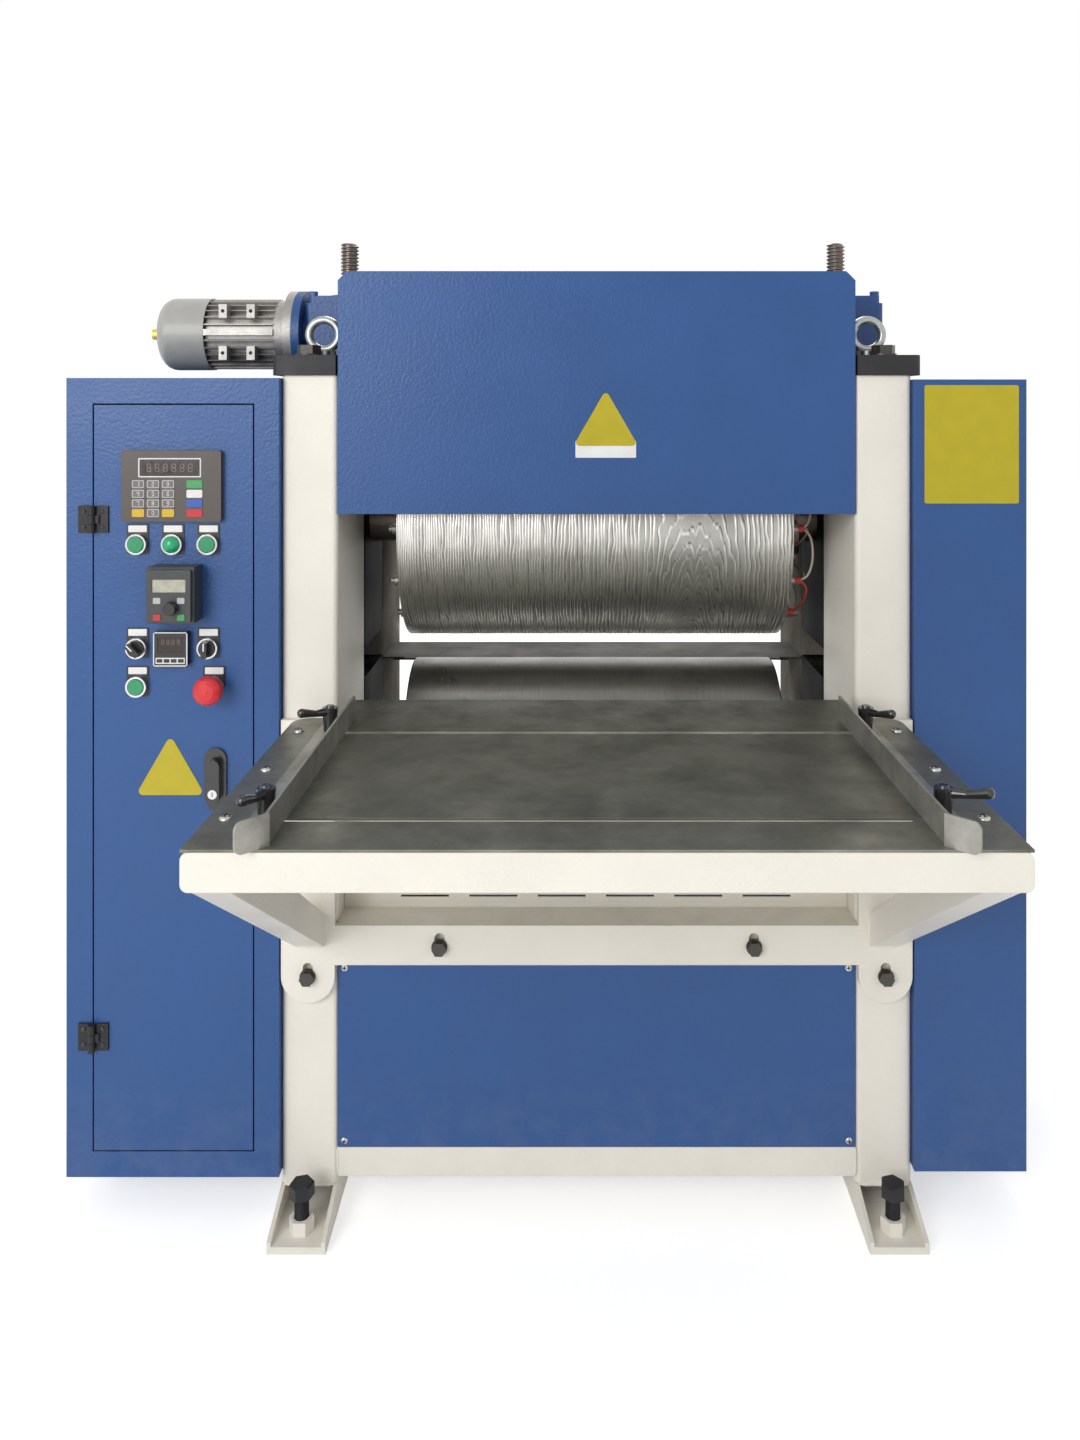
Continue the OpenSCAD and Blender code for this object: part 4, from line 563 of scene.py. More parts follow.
def round_outline(width, height, radius):
    """A rectangle with rounded corners, about its middle."""
    points = []
    for turn, sx, sy in ((0, 1, 1), (1, -1, 1), (2, -1, -1), (3, 1, -1)):
        cx, cy = sx * (width / 2 - radius), sy * (height / 2 - radius)
        points += arc(radius, turn * RIGHT_ANGLE, (turn + 1) * RIGHT_ANGLE, CORNER_STEPS, cx, cy)
    return points


class Shape:
    """Gathers simple solids in one mesh. Each solid names its material."""

    def __init__(self):
        self.mesh = bmesh.new()
        self.used = []

    def rings(self, rings, material):
        """Joins equal rings of points, in order, into a closed skin."""
        if material not in self.used:
            self.used.append(material)
        rows = [[self.mesh.verts.new(p) for p in ring] for ring in rings]
        count = len(rows[0])
        faces = [self.mesh.faces.new((a[i - 1], a[i], b[i], b[i - 1]))
                 for a, b in zip(rows, rows[1:]) for i in (*range(1, count), 0)]
        faces += [self.mesh.faces.new(rows[0][::-1]), self.mesh.faces.new(rows[-1])]
        for face in faces:
            face.material_index = self.used.index(material)

    def lathe(self, profile, place, material, sides):
        """Turns (radius, height) points round the Z axis of the matrix place."""
        turns = [TURN * i / sides for i in range(sides)]
        rings = [[place @ Vector((r * math.cos(t), r * math.sin(t), z)) for t in turns] for r, z in profile]
        self.rings(rings, material)

    def prism(self, outline, place, depth, material):
        """Raises a flat outline (x, y) along the Z axis of the matrix place."""
        self.rings([[place @ Vector((x, y, z)) for x, y in outline] for z in (0.0, depth)], material)

    def pad(self, place, x, y, width, height, material, radius, lift=0.0, depth=1.0):
        """A rounded block on a seat, about (x, y). Gives the seat on top of it."""
        at = place @ Matrix.Translation((x, y, lift))
        self.prism(round_outline(width, height, radius), at, depth, material)
        return at @ Matrix.Translation((0, 0, depth))

    def tube(self, path, radius, material, sides=10):
        """A round wire along a path of points."""
        path = [Vector(p) for p in path]
        turns = [TURN * k / sides for k in range(sides)]
        rows = []
        side = Vector((0, 0, 1))
        for i, point in enumerate(path):
            ahead = (path[min(i + 1, len(path) - 1)] - path[max(i - 1, 0)]).normalized()
            side = (side - ahead * side.dot(ahead))
            side = side.normalized() if side.length > 1e-6 else ahead.orthogonal().normalized()
            other = ahead.cross(side)
            rows.append([point + radius * (math.cos(t) * side + math.sin(t) * other) for t in turns])
        self.rings(rows, material)

    def done(self, name, body, sharp=35.0):
        """Turns the mesh into an object that moves with a CAD body. Edges over sharp degrees stay sharp."""
        bmesh.ops.recalc_face_normals(self.mesh, faces=self.mesh.faces)
        for face in self.mesh.faces:
            face.smooth = True
        for edge in self.mesh.edges:
            if len(edge.link_faces) == 2 and edge.calc_face_angle() > math.radians(sharp):
                edge.smooth = False
        data = bpy.data.meshes.new(name)
        self.mesh.to_mesh(data)
        self.mesh.free()
        for material in self.used:
            data.materials.append(MATERIALS[material])
        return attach(put(name, data), body)


class PRESS_OT_dress_frame(bpy.types.Operator):
    """Gives every CAD node its material"""
    bl_idname = "press.dress_frame"
    bl_label = "Dress the frame"

    def execute(self, context):
        build_effects()
        MATERIALS.update(build_materials(context.scene.press_paint))
        dressed = {node: key for key, nodes in DRESS.items() for node in nodes.split()}
        missing = set(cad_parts) ^ set(dressed)
        if missing:
            raise RuntimeError(f"nodes without a material, or not in the frame: {sorted(missing)}")
        for node, key in dressed.items():
            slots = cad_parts[node].data.materials
            slots.clear()
            slots.append(MATERIALS[key])
        return {"FINISHED"}


# Heated roll

def lattice(x, s, cells_x, cells_s, seed):
    """Smooth noise, 0 to 1, on unit coordinates. It repeats in s, round the roll."""
    grid = np.random.default_rng(seed).random((cells_x + 2, cells_s))
    gx, gs = x * cells_x, s * cells_s
    ix, js = np.floor(gx).astype(int), np.floor(gs).astype(int)
    fx, fs = gx - ix, gs - js
    fx, fs = fx * fx * (3 - 2 * fx), fs * fs * (3 - 2 * fs)
    ix = np.clip(ix, 0, cells_x)
    j0, j1 = js % cells_s, (js + 1) % cells_s
    near = grid[ix, j0] * (1 - fs) + grid[ix, j1] * fs
    far = grid[ix + 1, j0] * (1 - fs) + grid[ix + 1, j1] * fs
    return near * (1 - fx) + far * fx


def grain_relief(x, s, length, girth, grain):
    """Height, 0 to 1, of flat-sawn wood grain at x along the roll and s of a turn round it."""
    unit = x / length + 0.5

    def sway(size, cells_x, cells_s, seed):
        return size * (lattice(unit, s, cells_x, cells_s, seed) - 0.5)

    wander = sway(7 * MM, 5, 6, 11) + sway(3 * MM, 24, 14, 12)
    aside = x - grain.arch_x + wander
    notch, notch_run, tip = 10 * MM + 8 * MM * (lattice(unit * 0, s, 1, 16, 16) - 0.5), 30 * MM, 2 * MM
    away = np.sqrt((np.abs(aside) - notch * np.exp(-(aside / notch_run) ** 2)) ** 2 + tip ** 2)
    closer = np.where(aside < 0, (1 / grain.fine_pitch - 1 / grain.pitch) / length, 0.0)
    open_run = 34 * MM
    opened = (1 / grain.pitch - 1 / grain.arch_pitch) * open_run * (1 - np.exp(-away / open_run))
    lines = away / grain.pitch - opened + closer * away ** 2
    spread = np.where(aside > 0, 52 * MM, 44 * MM)
    lines = lines + grain.arch_lines * np.sin(TURN * (s - 0.1)) * np.exp(-(aside / spread) ** 2)
    lines = lines + sway(0.7, 80, 16, 13) + sway(0.5, 60, 64, 17)
    rise_x, rise_s = np.gradient(lines, x[1, 0] - x[0, 0], girth / lines.shape[1])
    across = (lines % 1.0 - 0.5) / np.maximum(np.hypot(rise_x, rise_s), 1 / grain.arch_pitch)
    broken = lattice(unit, s, 150, 60, 14)
    ridge = np.exp(-(across / grain.ridge) ** 2) * (0.3 + 1.0 * broken)
    # a dip on one side of each ridge; the skin paints it dark as the ridge's shadow
    groove = np.exp(-((across - 2 * grain.ridge) / (0.8 * grain.ridge)) ** 2)
    ground = 0.26 + 0.16 * lattice(unit, s, 90, 60, 15)
    return np.clip(ground + 0.7 * ridge - 0.34 * groove, 0, 1)


class PRESS_OT_engrave_roll(bpy.types.Operator):
    """Lays the wood-grain relief over the heated roll"""
    bl_idname = "press.engrave_roll"
    bl_label = "Engrave the roll"

    def execute(self, context):
        grain = context.scene.press_grain
        low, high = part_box("embossing_roll")
        centre = (low + high) / 2
        radius = (high.z - low.z) / 2
        proud, margin = 0.1 * MM, 1 * MM
        length = high.x - low.x - 2 * margin
        girth = TURN * radius
        coarse = 1.0
        columns = int(length / (grain.step_x * coarse)) + 1
        rows = int(girth / (grain.step_round * coarse))
        x = np.linspace(-length / 2, length / 2, columns)[:, None].repeat(rows, 1)
        s = (np.arange(rows) / rows)[None, :].repeat(columns, 0)
        relief = grain_relief(x, s, length, girth, grain)
        r = radius + proud + grain.depth * relief
        turn = TURN * s
        points = np.stack([centre.x + x, centre.y + r * np.cos(turn), centre.z + r * np.sin(turn)], -1)
        index = np.arange(columns * rows).reshape(columns, rows)
        after = np.roll(index, -1, 1)
        quads = np.stack([index[:-1], index[1:], after[1:], after[:-1]], -1).reshape(-1, 4)
        data = bpy.data.meshes.new("grain_skin")
        data.from_pydata(points.reshape(-1, 3).tolist(), [], quads.tolist())
        heights = data.attributes.new("relief", "FLOAT", "POINT").data
        heights.foreach_set("value", relief.reshape(-1).astype(np.float32))
        data.polygons.foreach_set("use_smooth", np.ones(len(quads), bool))
        data.materials.append(MATERIALS["engraved_steel"])
        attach(put("grain_skin", data), "upper_roll")
        return {"FINISHED"}


def bound_ring(spot, ring_x, stud_x, stud_r, wires):
    """The twisted ring of leads with its holders, and a boot over each heater end."""
    shape = Shape()
    strands, laps, points, lay_r, strand_r = 5, 16, 240, 3.4 * MM, 2.2 * MM
    for n in range(strands):
        path = []
        for i in range(points + 1):
            turn = TURN * i / points
            lay = laps * turn + TURN * n / strands
            path.append(spot(ring_x + lay_r * math.sin(lay), turn, wires.ring + lay_r * math.cos(lay)))
        shape.tube(path, strand_r, "white_sleeve" if n else "red_sleeve", 8)
    holders, clip_r, clip_turn = 3, 6.6 * MM, 0.09
    bar, bar_ends = rectangle(1.5 * MM, 0.055), (wires.hub / 2 - 1 * MM, wires.ring - 5 * MM)
    for n in range(holders):
        turn = TURN * n / holders
        clip = [spot(ring_x, turn + aside, wires.ring) for aside in (-clip_turn, 0.0, clip_turn)]
        shape.tube(clip, clip_r, "black_plastic", 20)
        shape.rings([[spot(ring_x + x, turn + aside * wires.ring / r, r) for x, aside in bar] for r in bar_ends],
                    "zinc_plate")
    boot = ((5.0, 0), (5.9, 0.4), (5.9, 6), (5.0, 9), (4.6, 11))
    for k in range(wires.count):
        root = spot(stud_x - 5.4 * MM, TURN * k / wires.count, stud_r)
        shape.lathe(boot, seat(root, RIGHT_ANGLE, "Y"), "red_sleeve", 20)
    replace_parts(shape.done("heater_ring", "upper_roll"), "heater_leads")


def heater_wire(name, path, wires, material):
    """One wire as a piece of its own."""
    shape = Shape()
    shape.tube(path, wires.wire / 2, material)
    piece = shape.done(name, "upper_roll")
    length = sum((b - a).length for a, b in zip(path, path[1:]))
    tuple(path[0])


class PRESS_OT_wire_heaters(bpy.types.Operator):
    """Wires the heater ends on the right of the roll: a bound ring, a lead to each end and loops along the rim"""
    bl_idname = "press.wire_heaters"
    bl_label = "Wire the heaters"

    def execute(self, context):
        wires = context.scene.press_wires
        low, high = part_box("heater_leads")
        axis = middle("heater_leads")
        stud_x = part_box("heater_terminals")[1].x
        stud_r = (high.z - low.z) / 2 - 3 * MM
        ring_x = high.x - 6 * MM

        def spot(x, turn, r):
            return Vector((x, axis.y - r * math.sin(turn), axis.z + r * math.cos(turn)))

        bound_ring(spot, ring_x, stud_x, stud_r, wires)
        rng = np.random.default_rng(5)
        step = TURN / wires.count
        aside = 2.3 * MM / stud_r
        root = stud_x + 4 * MM
        for k in range(wires.count):
            turn = step * k
            bow, lean = root + rng.uniform(18, 30) * MM, rng.uniform(-8, 9) * MM
            loop = interpolate_bezier(
                spot(root, turn + aside, stud_r), spot(bow, turn + 2 * aside, stud_r + lean),
                spot(bow, turn + step - 2 * aside, stud_r - lean), spot(root, turn + step - aside, stud_r), 24)
            heater_wire(f"heater_loop_{k + 1}", loop, wires, "red_sleeve" if k % 3 == 1 else "white_sleeve")
            lead = interpolate_bezier(
                spot(root, turn, stud_r - 2.4 * MM), spot(root + 16 * MM, turn, stud_r - 4 * MM),
                spot(ring_x + 8 * MM, turn + 0.2, wires.ring + 26 * MM),
                spot(ring_x + 2 * MM, turn + 0.42, wires.ring + 3 * MM), 20)
            heater_wire(f"heater_lead_{k + 1}", lead, wires, "white_sleeve")
        return {"FINISHED"}


# Screws, bolts and welds

def thread_rows(radius, depth, pitch, low, high, sides, steps):
    """Rings of a screw thread between two heights: trapezoid flanks that climb one pitch a turn."""
    count = max(2, int((high - low) / pitch * steps))
    crest, slope = 0.3, 0.4
    rows = []
    for k in range(count + 1):
        z = low + (high - low) * k / count
        row = []
        for i in range(sides):
            phase = (z / pitch - i / sides) % 1.0
            flank = min(1.0, max(0.0, (abs(phase - 0.5) * 2 - crest) / slope))
            r = radius - depth * flank
            t = TURN * i / sides
            row.append(Vector((r * math.cos(t), r * math.sin(t), z)))
        rows.append(row)
    return rows


def narrowed(row, share, z):
    """A ring drawn in to a share of its width at another height."""
    return [Vector((p.x * share, p.y * share, z)) for p in row]


def stack_rings(shape, x, y, rows, material):
    """Joins rings that are drawn about the origin, over a point of the floor plan."""
    shape.rings([[Vector((x, y, 0)) + p for p in row] for row in rows], material)


def jack_bolt(node):
    """A bolt that stands on its tip, with its hexagon head on top."""
    low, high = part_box(node)
    centre = middle(node)
    radius, depth, pitch, chamfer = 10 * MM, 1.2 * MM, 2.5 * MM, 2 * MM
    head_h, across, head_turn, head_chamfer = 18.6 * MM, 30 * MM, 0.25, 2.2 * MM
    shape = Shape()
    rows = thread_rows(radius, depth, pitch, low.z + chamfer, high.z - head_h, 28, 6)
    stack_rings(shape, centre.x, centre.y, [narrowed(rows[0], 0.8, low.z)] + rows, "black_oxide")
    corners = arc(across / math.sqrt(3), head_turn, head_turn + TURN, 6)[:6]
    head = [Vector((x, y, high.z - head_h)) for x, y in corners]
    rows = [head, narrowed(head, 1.0, high.z - head_chamfer), narrowed(head, 0.86, high.z)]
    stack_rings(shape, centre.x, centre.y, rows, "black_oxide")
    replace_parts(shape.done(node + "_bolt", node, 25), node)


class PRESS_OT_cut_threads(bpy.types.Operator):
    """Builds the lift screws and jack bolts with their threads"""
    bl_idname = "press.cut_threads"
    bl_label = "Cut the threads"

    def execute(self, context):
        low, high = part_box("lift_screws")
        radius, depth, pitch, chamfer = (high.y - low.y) / 2, 3 * MM, 6 * MM, 2 * MM
        shape = Shape()
        rows = thread_rows(radius, depth, pitch, low.z, high.z - chamfer, 36, 8)
        rows.append(narrowed(rows[-1], 0.86, high.z))
        for x in (low.x + radius, high.x - radius):
            stack_rings(shape, x, (low.y + high.y) / 2, rows, "oiled_steel")
        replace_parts(shape.done("threaded_screws", "lift"), "lift_screws")
        for side in ("left", "right"):
            for end in ("front", "rear"):
                jack_bolt(f"{side}_{end}_jack")
        return {"FINISHED"}


def pan_head(shape, place, radius, height, material="bright_steel"):
    """A domed head on a seat, with a black cross on it that paints the shade in its cross slot."""
    dome, steps = 0.8 * RIGHT_ANGLE, 5
    arch = [(radius * math.cos(t), height * math.sin(t) / math.sin(dome))
            for t in (dome * i / steps for i in range(steps + 1))]
    shape.lathe(arch, place, material, 28)
    top = place @ Matrix.Translation((0, 0, height * 0.8))
    arm, bar = radius * 0.62, radius * 0.16
    for w, h in ((arm, bar), (bar, arm)):
        shape.prism(rectangle(w, h), top, height * 0.22, "ink")


def hinge_screws(node, body, inward):
    """Two black screws in each leaf of both hinges, set in from the leaf's outer edge."""
    low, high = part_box(node)
    x = (low.x if inward > 0 else high.x) + inward
    shape = Shape()
    for end, step in ((low.z, 1), (high.z, -1)):
        for up in (8 * MM, 30 * MM):
            place = facing_front(x, high.y - 3 * MM, end + step * up)
            pan_head(shape, place, 3.4, 1.6, "black_gloss")
    shape.done(node + "_screws", body)


class PRESS_OT_add_screws(bpy.types.Operator):
    """Adds the cross-head screws of the table, the lower covers and the door hinges"""
    bl_idname = "press.add_screws"
    bl_label = "Add the screws"

    def execute(self, context):
        low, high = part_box("table_sheet")
        first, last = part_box("posts")[0].y - 72 * MM, low.y + 81 * MM
        inset, sunk = 20 * MM, 3.5 * MM
        shape = Shape()
        for x in (low.x + inset, high.x - inset):
            for y in (first, first + (last - first) / 2, last):
                pan_head(shape, seat((x, y, high.z - sunk)), 7.2, 4.0)
        shape.done("table_screws", "table")
        low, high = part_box("lower_panels")
        radius, proud, flush, inset = 5.0, 2.6, 0.14, 9 * MM
        shape = Shape()
        for x in (low.x + inset, high.x - inset):
            # the table's mount plate slides down over the upper screws in front
            for z, rise in ((low.z + inset, proud), (high.z - inset, flush)):
                pan_head(shape, facing_front(x, low.y, z), radius, rise)
                rear = facing_front(x, high.y, z) @ Matrix.Rotation(math.pi, 4, "Y")
                pan_head(shape, rear, radius, proud)
        shape.done("cover_screws", "frame")
        hinge_screws("hinge_leaves", "frame", 7.5 * MM)
        hinge_screws("door_hinge_leaves", "door", -8.5 * MM)
        return {"FINISHED"}


def weld_bead(shape, start, end, radius, seed):
    """A rippled bead that thins out at both ends."""
    rng = np.random.default_rng(seed)
    start, end = Vector(start), Vector(end)
    length = (end - start).length
    step, sides = 2.6 * MM, 8
    count = max(6, int(length / step))
    ahead = (end - start).normalized()
    side = ahead.orthogonal().normalized()
    other = ahead.cross(side)
    turns = [TURN * k / sides for k in range(sides)]
    rows = []
    for i in range(count + 1):
        t = i / count
        swell = radius * (0.72 + 0.28 * abs(math.sin(i * 1.35))) * rng.uniform(0.93, 1.07)
        swell *= min(1.0, 0.35 + 6 * min(t, 1 - t))
        middle_point = start + ahead * (length * t)
        rows.append([middle_point + swell * (math.cos(a) * side + math.sin(a) * other) for a in turns])
    shape.rings(rows, "cream_paint")


class PRESS_OT_lay_welds(bpy.types.Operator):
    """Lays painted weld beads where the frame's members meet"""
    bl_idname = "press.lay_welds"
    bl_label = "Lay the welds"

    def execute(self, context):
        posts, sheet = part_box("posts"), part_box("table_sheet")
        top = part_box("foot_channels")[1].z
        width, depth, tube, short = 80 * MM, 200 * MM, 40 * MM, 4 * MM
        foot_bead, rail_bead, table_bead = 3.2 * MM, 2.4 * MM, 2.6 * MM
        seeds = iter(range(30, 90))
        shape = Shape()
        rail_low, rail_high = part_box("cross_rails")[0].z + 1 * MM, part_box("lower_panels")[0].z - 1 * MM
        for x, edge in ((posts[0].x, posts[0].x + width), (posts[1].x - width, posts[1].x - width)):
            for y in (posts[0].y, posts[0].y + depth, posts[1].y - depth, posts[1].y):
                ends = (x + short, y, top), (x + width - short, y, top)
                weld_bead(shape, *ends, foot_bead, next(seeds))
            for y in (posts[0].y + 1 * MM, posts[1].y - 1 * MM):
                weld_bead(shape, (edge, y, rail_low), (edge, y, rail_high), rail_bead, next(seeds))
        shape.done("frame_welds", "frame")
        shape = Shape()
        face = posts[0].y - 10.2 * MM
        foot_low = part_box("table_frame")[0].z + 80.4 * MM
        foot_high = foot_low + 45 * MM
        for outer, inner in ((sheet[0].x, sheet[0].x + tube), (sheet[1].x, sheet[1].x - tube)):
            for x in (outer, inner):
                weld_bead(shape, (x, face, foot_low), (x, face, foot_high), table_bead, next(seeds))
            weld_bead(shape, (inner, face, foot_low), (outer, face, foot_low), table_bead, next(seeds))
        shape.done("table_welds", "table")
        return {"FINISHED"}


# Door and its controls. Lengths on a seat are in millimetres

DIGIT_BARS = {"0": "abcdef", "1": "bc", "2": "abged", "3": "abgcd", "4": "fgbc", "5": "afgcd", "6": "afgcde",
              "7": "abc", "8": "abcdefg", "9": "abcdfg"}
BAR_PLACES = {"a": (0, 1), "g": (0, 0), "d": (0, -1), "f": (-1, 0.5), "b": (1, 0.5), "e": (-1, -0.5), "c": (1, -0.5)}
DIGIT_DEPTH = 0.06


def digit(shape, place, mark, width, height, stroke, material):
    """One plain number drawn in straight strokes."""
    for bar in DIGIT_BARS[mark]:
        x, y = BAR_PLACES[bar]
        w = stroke / 2 if x else (width + stroke) / 2
        h = (height / 2 + stroke) / 2 if x else stroke / 2
        shape.prism(rectangle(w, h, x * width / 2, y * height / 2), place, DIGIT_DEPTH, material)


def fit_counter():
    """The counter's window, number keys and side keys."""
    at = front("counter_panel", 0.8)
    shape = Shape()
    shape.pad(at, -2, 26, 88, 27, "key_white", 1.5, 0.0, 0.25)
    window = shape.pad(at, -2, 26, 84.5, 23.5, "smoked_window", 1, 0.2, 0.15)
    for i in range(6):
        digit(shape, window @ Matrix.Translation((-29 + 11.6 * i, 0, -0.02)), "8", 5.2, 10.5, 1.1, "dim_segment")
    rows = (("123", "key_green"), ("456", "key_white"), ("789", "key_blue"), (" 0 ", "key_red"))
    for row, (marks, side_key) in enumerate(rows):
        y = 3 - 13.5 * row
        for column, mark in enumerate(marks):
            material = "key_yellow" if mark == " " else "key_grey"
            top = shape.pad(at, -46 + 21 * column, y, 17.2, 11.2, material, 2)
            if mark != " ":
                top = shape.pad(top, 0, 0, 14.6, 8.6, "key_dark", 1.4, -0.04, 0.1)
                digit(shape, top, mark, 2.6, 5.2, 0.8, "key_white")
        shape.pad(at, 33, y, 22.2, 11.2, side_key, 2)
    shape.done("counter_keys", "door")


def fit_keypad():
    """The speed keypad's display and its four keys."""
    low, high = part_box("speed_keypad")
    at = front("speed_keypad", 1.0)
    width, height = (high.x - low.x) / MM, (high.z - low.z) / MM
    shape = Shape()
    shape.pad(at, 0, height / 2 - 25, width - 20.4, 17.6, "pale_display", 0.8, -1.4, 0.5)
    keys = ((-16, -6, "key_grey"), (17, -6, "key_grey"), (-16, -29, "key_red"), (17, -29, "key_green"))
    for x, y, material in keys:
        shape.pad(at, x, y, 10.3, 8.3, material, 1.5, 0.0, 1.2)
    shape.done("keypad_keys", "door")


def fit_controller():
    """The temperature controller's pale band, window and key strip."""
    low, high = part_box("temperature_controller")
    at = front("temperature_controller", 0.8)
    side, band = (high.x - low.x) / MM, 1.6
    reach = (side - band) / 2
    shape = Shape()
    for x, y in ((0, 1), (0, -1), (-1, 0), (1, 0)):
        shape.pad(at, x * reach, y * reach, side if y else band, side if x else band, "key_white", 0.4, -0.4, 0.8)
    window = shape.pad(at, 0, 6, side - 12.4, 21.4, "smoked_window", 0.8, -1.4, 0.9)
    for i in range(4):
        digit(shape, window @ Matrix.Translation((-11 + 7.4 * i, 4, 0)), "8", 3.2, 6.4, 0.7, "dim_segment")
    shape.pad(at, 0, -16, side - 7, 8.6, "key_white", 1, 0.0, 0.4)
    shape.done("controller_face", "door")


def blank_label(shape, place):
    """A blank label over a button's middle."""
    shape.pad(place, 0, 21.5, 26, 9.5, "plate_white", 0.8, 0.0, 0.4)


def fit_labels():
    """Blank labels, and the holder of the stop button's, cut out round its bezel."""
    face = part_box("legend_plates")[0].y
    shape = Shape()
    for node in ("start_button", "feed_button", "heat_button", "left_selector", "right_selector", "pilot_lamp"):
        at = middle(node)
        blank_label(shape, facing_front(at.x, face, at.z))
    at = middle("stop_button")
    place = facing_front(at.x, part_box("cabinet_door")[0].y, at.z)
    wide, tall, thick, bezel = 15.5, 28, 1.2, 14.7
    outline = [(wide, 0), (wide, tall), (-wide, tall), (-wide, 0)] + arc(bezel, math.pi, 0, 24)
    shape.prism(outline, place, thick, "black_plastic")
    blank_label(shape, place @ Matrix.Translation((0, 0, thick)))
    shape.done("blank_labels", "door")


def fit_pointers():
    """A white mark on each selector."""
    for node, turn in (("left_selector", math.radians(45)), ("right_selector", 0.0)):
        shape = Shape()
        at = front(node) @ Matrix.Rotation(turn, 4, "Z")
        shape.pad(at, 0, 5, 1.8, 11, "plate_white", 0.5, 0.0, 0.15)
        shape.done(node + "_mark", node)


class PRESS_OT_fit_panels(bpy.types.Operator):
    """Adds the keys, windows and blank labels of the control panels"""
    bl_idname = "press.fit_panels"
    bl_label = "Fit the control panels"

    def execute(self, context):
        fit_counter()
        fit_keypad()
        fit_controller()
        fit_labels()
        fit_pointers()
        return {"FINISHED"}


def round_triangle(side, radius):
    """An upright triangle with rounded corners, standing on its base."""
    height = side * math.sqrt(3) / 2
    inset = radius * math.sqrt(3)
    centres = ((-side / 2 + inset, radius), (side / 2 - inset, radius), (0, height - 2 * radius))
    points = []
    for (x, y), first in zip(centres, (150, 270, 30)):
        points += arc(radius, math.radians(first), math.radians(first + 120), CORNER_STEPS, x, y)
    return points


class PRESS_OT_fit_plates(bpy.types.Operator):
    """Fits the blank plates of the guard, the drive cover and the door"""
    bl_idname = "press.fit_plates"
    bl_label = "Fit the blank plates"

    def execute(self, context):
        thick = 0.8
        low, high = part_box("drive_guard")
        shape = Shape()
        at = facing_front(low.x + 80.5 * MM, low.y, high.z - 91.5 * MM)
        shape.pad(at, 0, 0, 133, 167, "plate_yellow", 3, 0.0, thick)
        shape.done("guard_plate", "frame")
        low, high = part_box("roll_guards")
        shape = Shape()
        at = facing_front((low.x + high.x) / 2 + 13 * MM, low.y, low.z + 80 * MM)
        shape.prism(round_triangle(92, 5), at @ Matrix.Translation((0, 17, 0)), thick, "plate_yellow")
        shape.pad(at, 0, 12, 86, 24, "plate_white", 1, 0.0, thick * 0.6)
        shape.done("heat_plate", "frame")
        low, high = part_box("cabinet_door")
        shape = Shape()
        at = facing_front((low.x + high.x) / 2 - 4 * MM, low.y, high.z - 550 * MM)
        shape.prism(round_triangle(98, 6), at, thick, "plate_yellow")
        shape.done("door_plate", "door")
        return {"FINISHED"}


# Cabinet

# Rows of gear as in the CAD: kind, count, width and lower and upper edge as shares of the plate, depth in millimetres
GEAR_ROWS = (("drive", 1, 0.83, 0.06, 0.33, 150), ("duct", 1, 0.92, 0.38, 0.41, 40),
             ("contactor", 5, 0.14, 0.43, 0.51, 80), ("duct", 1, 0.92, 0.54, 0.57, 40),
             ("relay", 4, 0.17, 0.6, 0.69, 70), ("transformer", 1, 0.75, 0.76, 0.87, 100))
# Faces of each kind: place, width and height as shares of its own, material, thickness in millimetres
GEAR_FACES = {
    "drive": [(0, 0.16, 0.86, 0.56, "panel_grey", 2), (0, 0.30, 0.42, 0.11, "pale_display", 2.4),
              *[((i - 1.5) * 0.16, 0.10, 0.10, 0.06, "key_grey", 3) for i in range(4)],
              *[(0, -0.20 - 0.035 * i, 0.78, 0.014, "ink", 0.8) for i in range(7)]],
    # the duct's slots are black strips that paint the shade in them
    "duct": [((i - 11.5) / 25, y, 0.012, 0.34, "ink", 0.4) for i in range(24) for y in (-0.28, 0.28)],
    "contactor": [(0, 0, 0.9, 0.46, "black_plastic", 3), (0, 0, 0.3, 0.16, "key_grey", 4.5)],
    "relay": [(0, 0.12, 0.86, 0.62, "smoked_window", 3), (0, -0.34, 0.86, 0.2, "key_blue", 1.5)],
    "transformer": [(x, 0, 0.34, 0.72, "bronze", 6) for x in (-0.24, 0.24)],
}
# Terminal screws: places as shares, (radius as a share of the width, height in millimetres) points, sides
GEAR_SCREWS = {
    "contactor": ([((i - 1) * 0.3, y) for i in range(3) for y in (-0.37, 0.37)],
                  ((0.11, 0), (0.11, 1), (0.08, 1.6)), 16),
    "transformer": ([((i - 3.5) * 0.11, 0.43) for i in range(8)], ((1 / 60, 0), (1 / 60, 1.5)), 12),
}


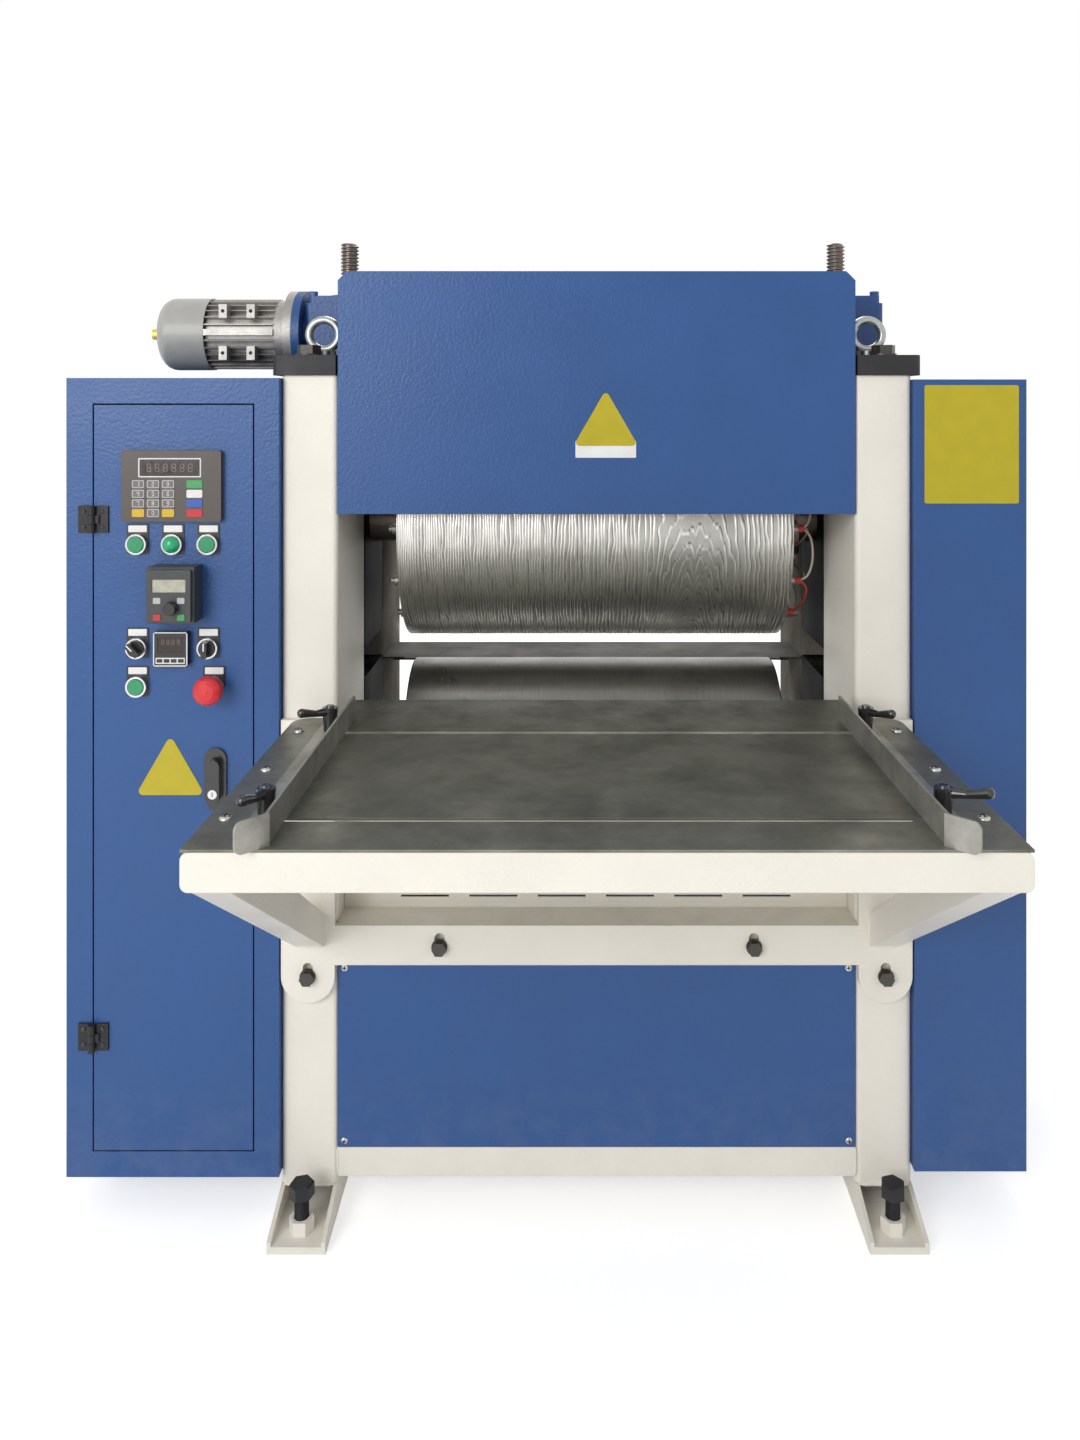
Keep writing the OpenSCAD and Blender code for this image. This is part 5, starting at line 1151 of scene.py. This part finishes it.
class PRESS_OT_fit_gear(bpy.types.Operator):
    """Gives the gear inside the cabinet its faces, terminals and slots"""
    bl_idname = "press.fit_gear"
    bl_label = "Fit the cabinet gear"

    def execute(self, context):
        low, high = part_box("cabinet_gear")
        wide, tall = high.x - low.x, high.z - low.z
        plate = low.y + max(row[-1] for row in GEAR_ROWS) * MM
        shape = Shape()
        for kind, count, width, bottom, top, depth in GEAR_ROWS:
            for i in range(count):
                x = low.x + wide * (i + 0.5) / count
                at = facing_front(x, plate - depth * MM, low.z + tall * (bottom + top) / 2)
                w, h = wide * width / MM, tall * (top - bottom) / MM
                for x, y, across, up, material, thick in GEAR_FACES[kind]:
                    corner = 0.12 * min(across * w, up * h)
                    shape.pad(at, x * w, y * h, across * w, up * h, material, corner, 0.0, thick)
                places, profile, sides = GEAR_SCREWS.get(kind, ((), (), 0))
                screw = [(r * w, z) for r, z in profile]
                for x, y in places:
                    shape.lathe(screw, at @ Matrix.Translation((x * w, y * h, 0)), "bright_steel", sides)
        shape.done("gear_faces", "frame")
        return {"FINISHED"}


# Stage

FLOOR_REACH = 14.0


def shown_rays(g):
    """1 for rays from the camera and those that metal and glass send on."""
    rays = g.add("LightPath").outputs
    sent_on = g.math("MAXIMUM", rays["Is Glossy Ray"], rays["Is Transmission Ray"])
    return g.math("MAXIMUM", rays["Is Camera Ray"], sent_on)


def floor_paint(g, stage):
    """A pale floor that the camera sees nearly white."""
    pale = [stage.floor] * 3
    return {
        "Base Color": g.mix(g.noise(g.place(), 1.5, 2.0), rgba(pale), rgba(pale, 1.02)),
        "Emission Strength": g.product(shown_rays(g), stage.lift),
        "Emission Color": WHITE,
        "Roughness": 0.9,
    }


def add_lamp(name, place, aim, size, power):
    """A square lamp turned towards a point."""
    light = bpy.data.lights.new(name, "AREA")
    light.shape = "SQUARE"
    light.size = size
    light.energy = power
    thing = put(name, light)
    thing.location = place
    thing.rotation_euler = (Vector(aim) - Vector(place)).to_track_quat("-Z", "Y").to_euler()


class PRESS_OT_set_stage(bpy.types.Operator):
    """Sets the floor, the soft light, the white surroundings and the camera"""
    bl_idname = "press.set_stage"
    bl_label = "Set the stage"

    def execute(self, context):
        scene = context.scene
        stage = scene.press_stage
        data = bpy.data.meshes.new("floor")
        data.from_pydata([(x, y, 0) for x, y in rectangle(FLOOR_REACH, FLOOR_REACH)], [], [(0, 1, 2, 3)])
        data.materials.append(new_material("floor_white", floor_paint, stage))
        floor = put("floor", data)
        world = bpy.data.worlds.new("white_room")
        world.use_nodes = True
        scene.world = world
        g = Graph(world.node_tree)
        background = world.node_tree.nodes["Background"].inputs
        g.feed(background["Strength"], g.span(shown_rays(g), 0, 1, stage.sky, 1.0))
        g.feed(background["Color"], WHITE)
        add_lamp("key", (-1.95, -3.2, 1.95), (0, 0, 0.8), 1.9, stage.key)
        add_lamp("rear", (0, 2.8, 4.2), (0, 0.2, 0.7), 1.8, stage.rear)
        add_lamp("fill", (2.8, -2.8, 2.2), (0, 0, 0.7), 2.4, stage.fill)
        camera = bpy.data.cameras.new("camera")
        camera.lens = stage.lens
        camera.sensor_width = 36.0
        camera.shift_x, camera.shift_y = stage.shift
        camera.clip_start = 0.01
        eye = put("camera", camera)
        eye.location = stage.camera
        eye.rotation_euler = (RIGHT_ANGLE, 0, 0)
        scene.camera = eye
        scene.view_settings.view_transform = "Standard"
        return {"FINISHED"}


class PRESS_PT_panel(bpy.types.Panel):
    """Buttons and settings of the press"""
    bl_label = "Embossing press"
    bl_idname = "PRESS_PT_panel"
    bl_space_type = "VIEW_3D"
    bl_region_type = "UI"
    bl_category = "Press"

    def draw(self, context):
        for group in (getattr(context.scene, key) for key in SETTINGS):
            box = self.layout.box()
            for key in group.__annotations__:
                box.prop(group, key)
        for step in STEPS:
            self.layout.operator(step.bl_idname)


SETTINGS = {"press_paint": PressPaintSettings, "press_grain": PressGrainSettings, "press_wires": PressWireSettings,
            "press_stage": PressStageSettings}
STEPS = (PRESS_OT_dress_frame, PRESS_OT_engrave_roll, PRESS_OT_wire_heaters, PRESS_OT_cut_threads, PRESS_OT_add_screws,
         PRESS_OT_lay_welds, PRESS_OT_fit_panels, PRESS_OT_fit_plates, PRESS_OT_fit_gear, PRESS_OT_set_stage)


def register():
    for kind in (*SETTINGS.values(), *STEPS, PRESS_PT_panel):
        bpy.utils.register_class(kind)
    for key, kind in SETTINGS.items():
        setattr(bpy.types.Scene, key, bpy.props.PointerProperty(type=kind))


def unregister():
    for key in SETTINGS:
        delattr(bpy.types.Scene, key)
    for kind in (PRESS_PT_panel, *reversed(STEPS), *SETTINGS.values()):
        bpy.utils.unregister_class(kind)


def main():
    register()
    bpy.ops.press.dress_frame()
    bpy.ops.press.engrave_roll()
    bpy.ops.press.wire_heaters()
    bpy.ops.press.cut_threads()
    bpy.ops.press.add_screws()
    bpy.ops.press.lay_welds()
    bpy.ops.press.fit_panels()
    bpy.ops.press.fit_plates()
    bpy.ops.press.fit_gear()
    bpy.ops.press.set_stage()


if __name__ == "__main__":
    main()
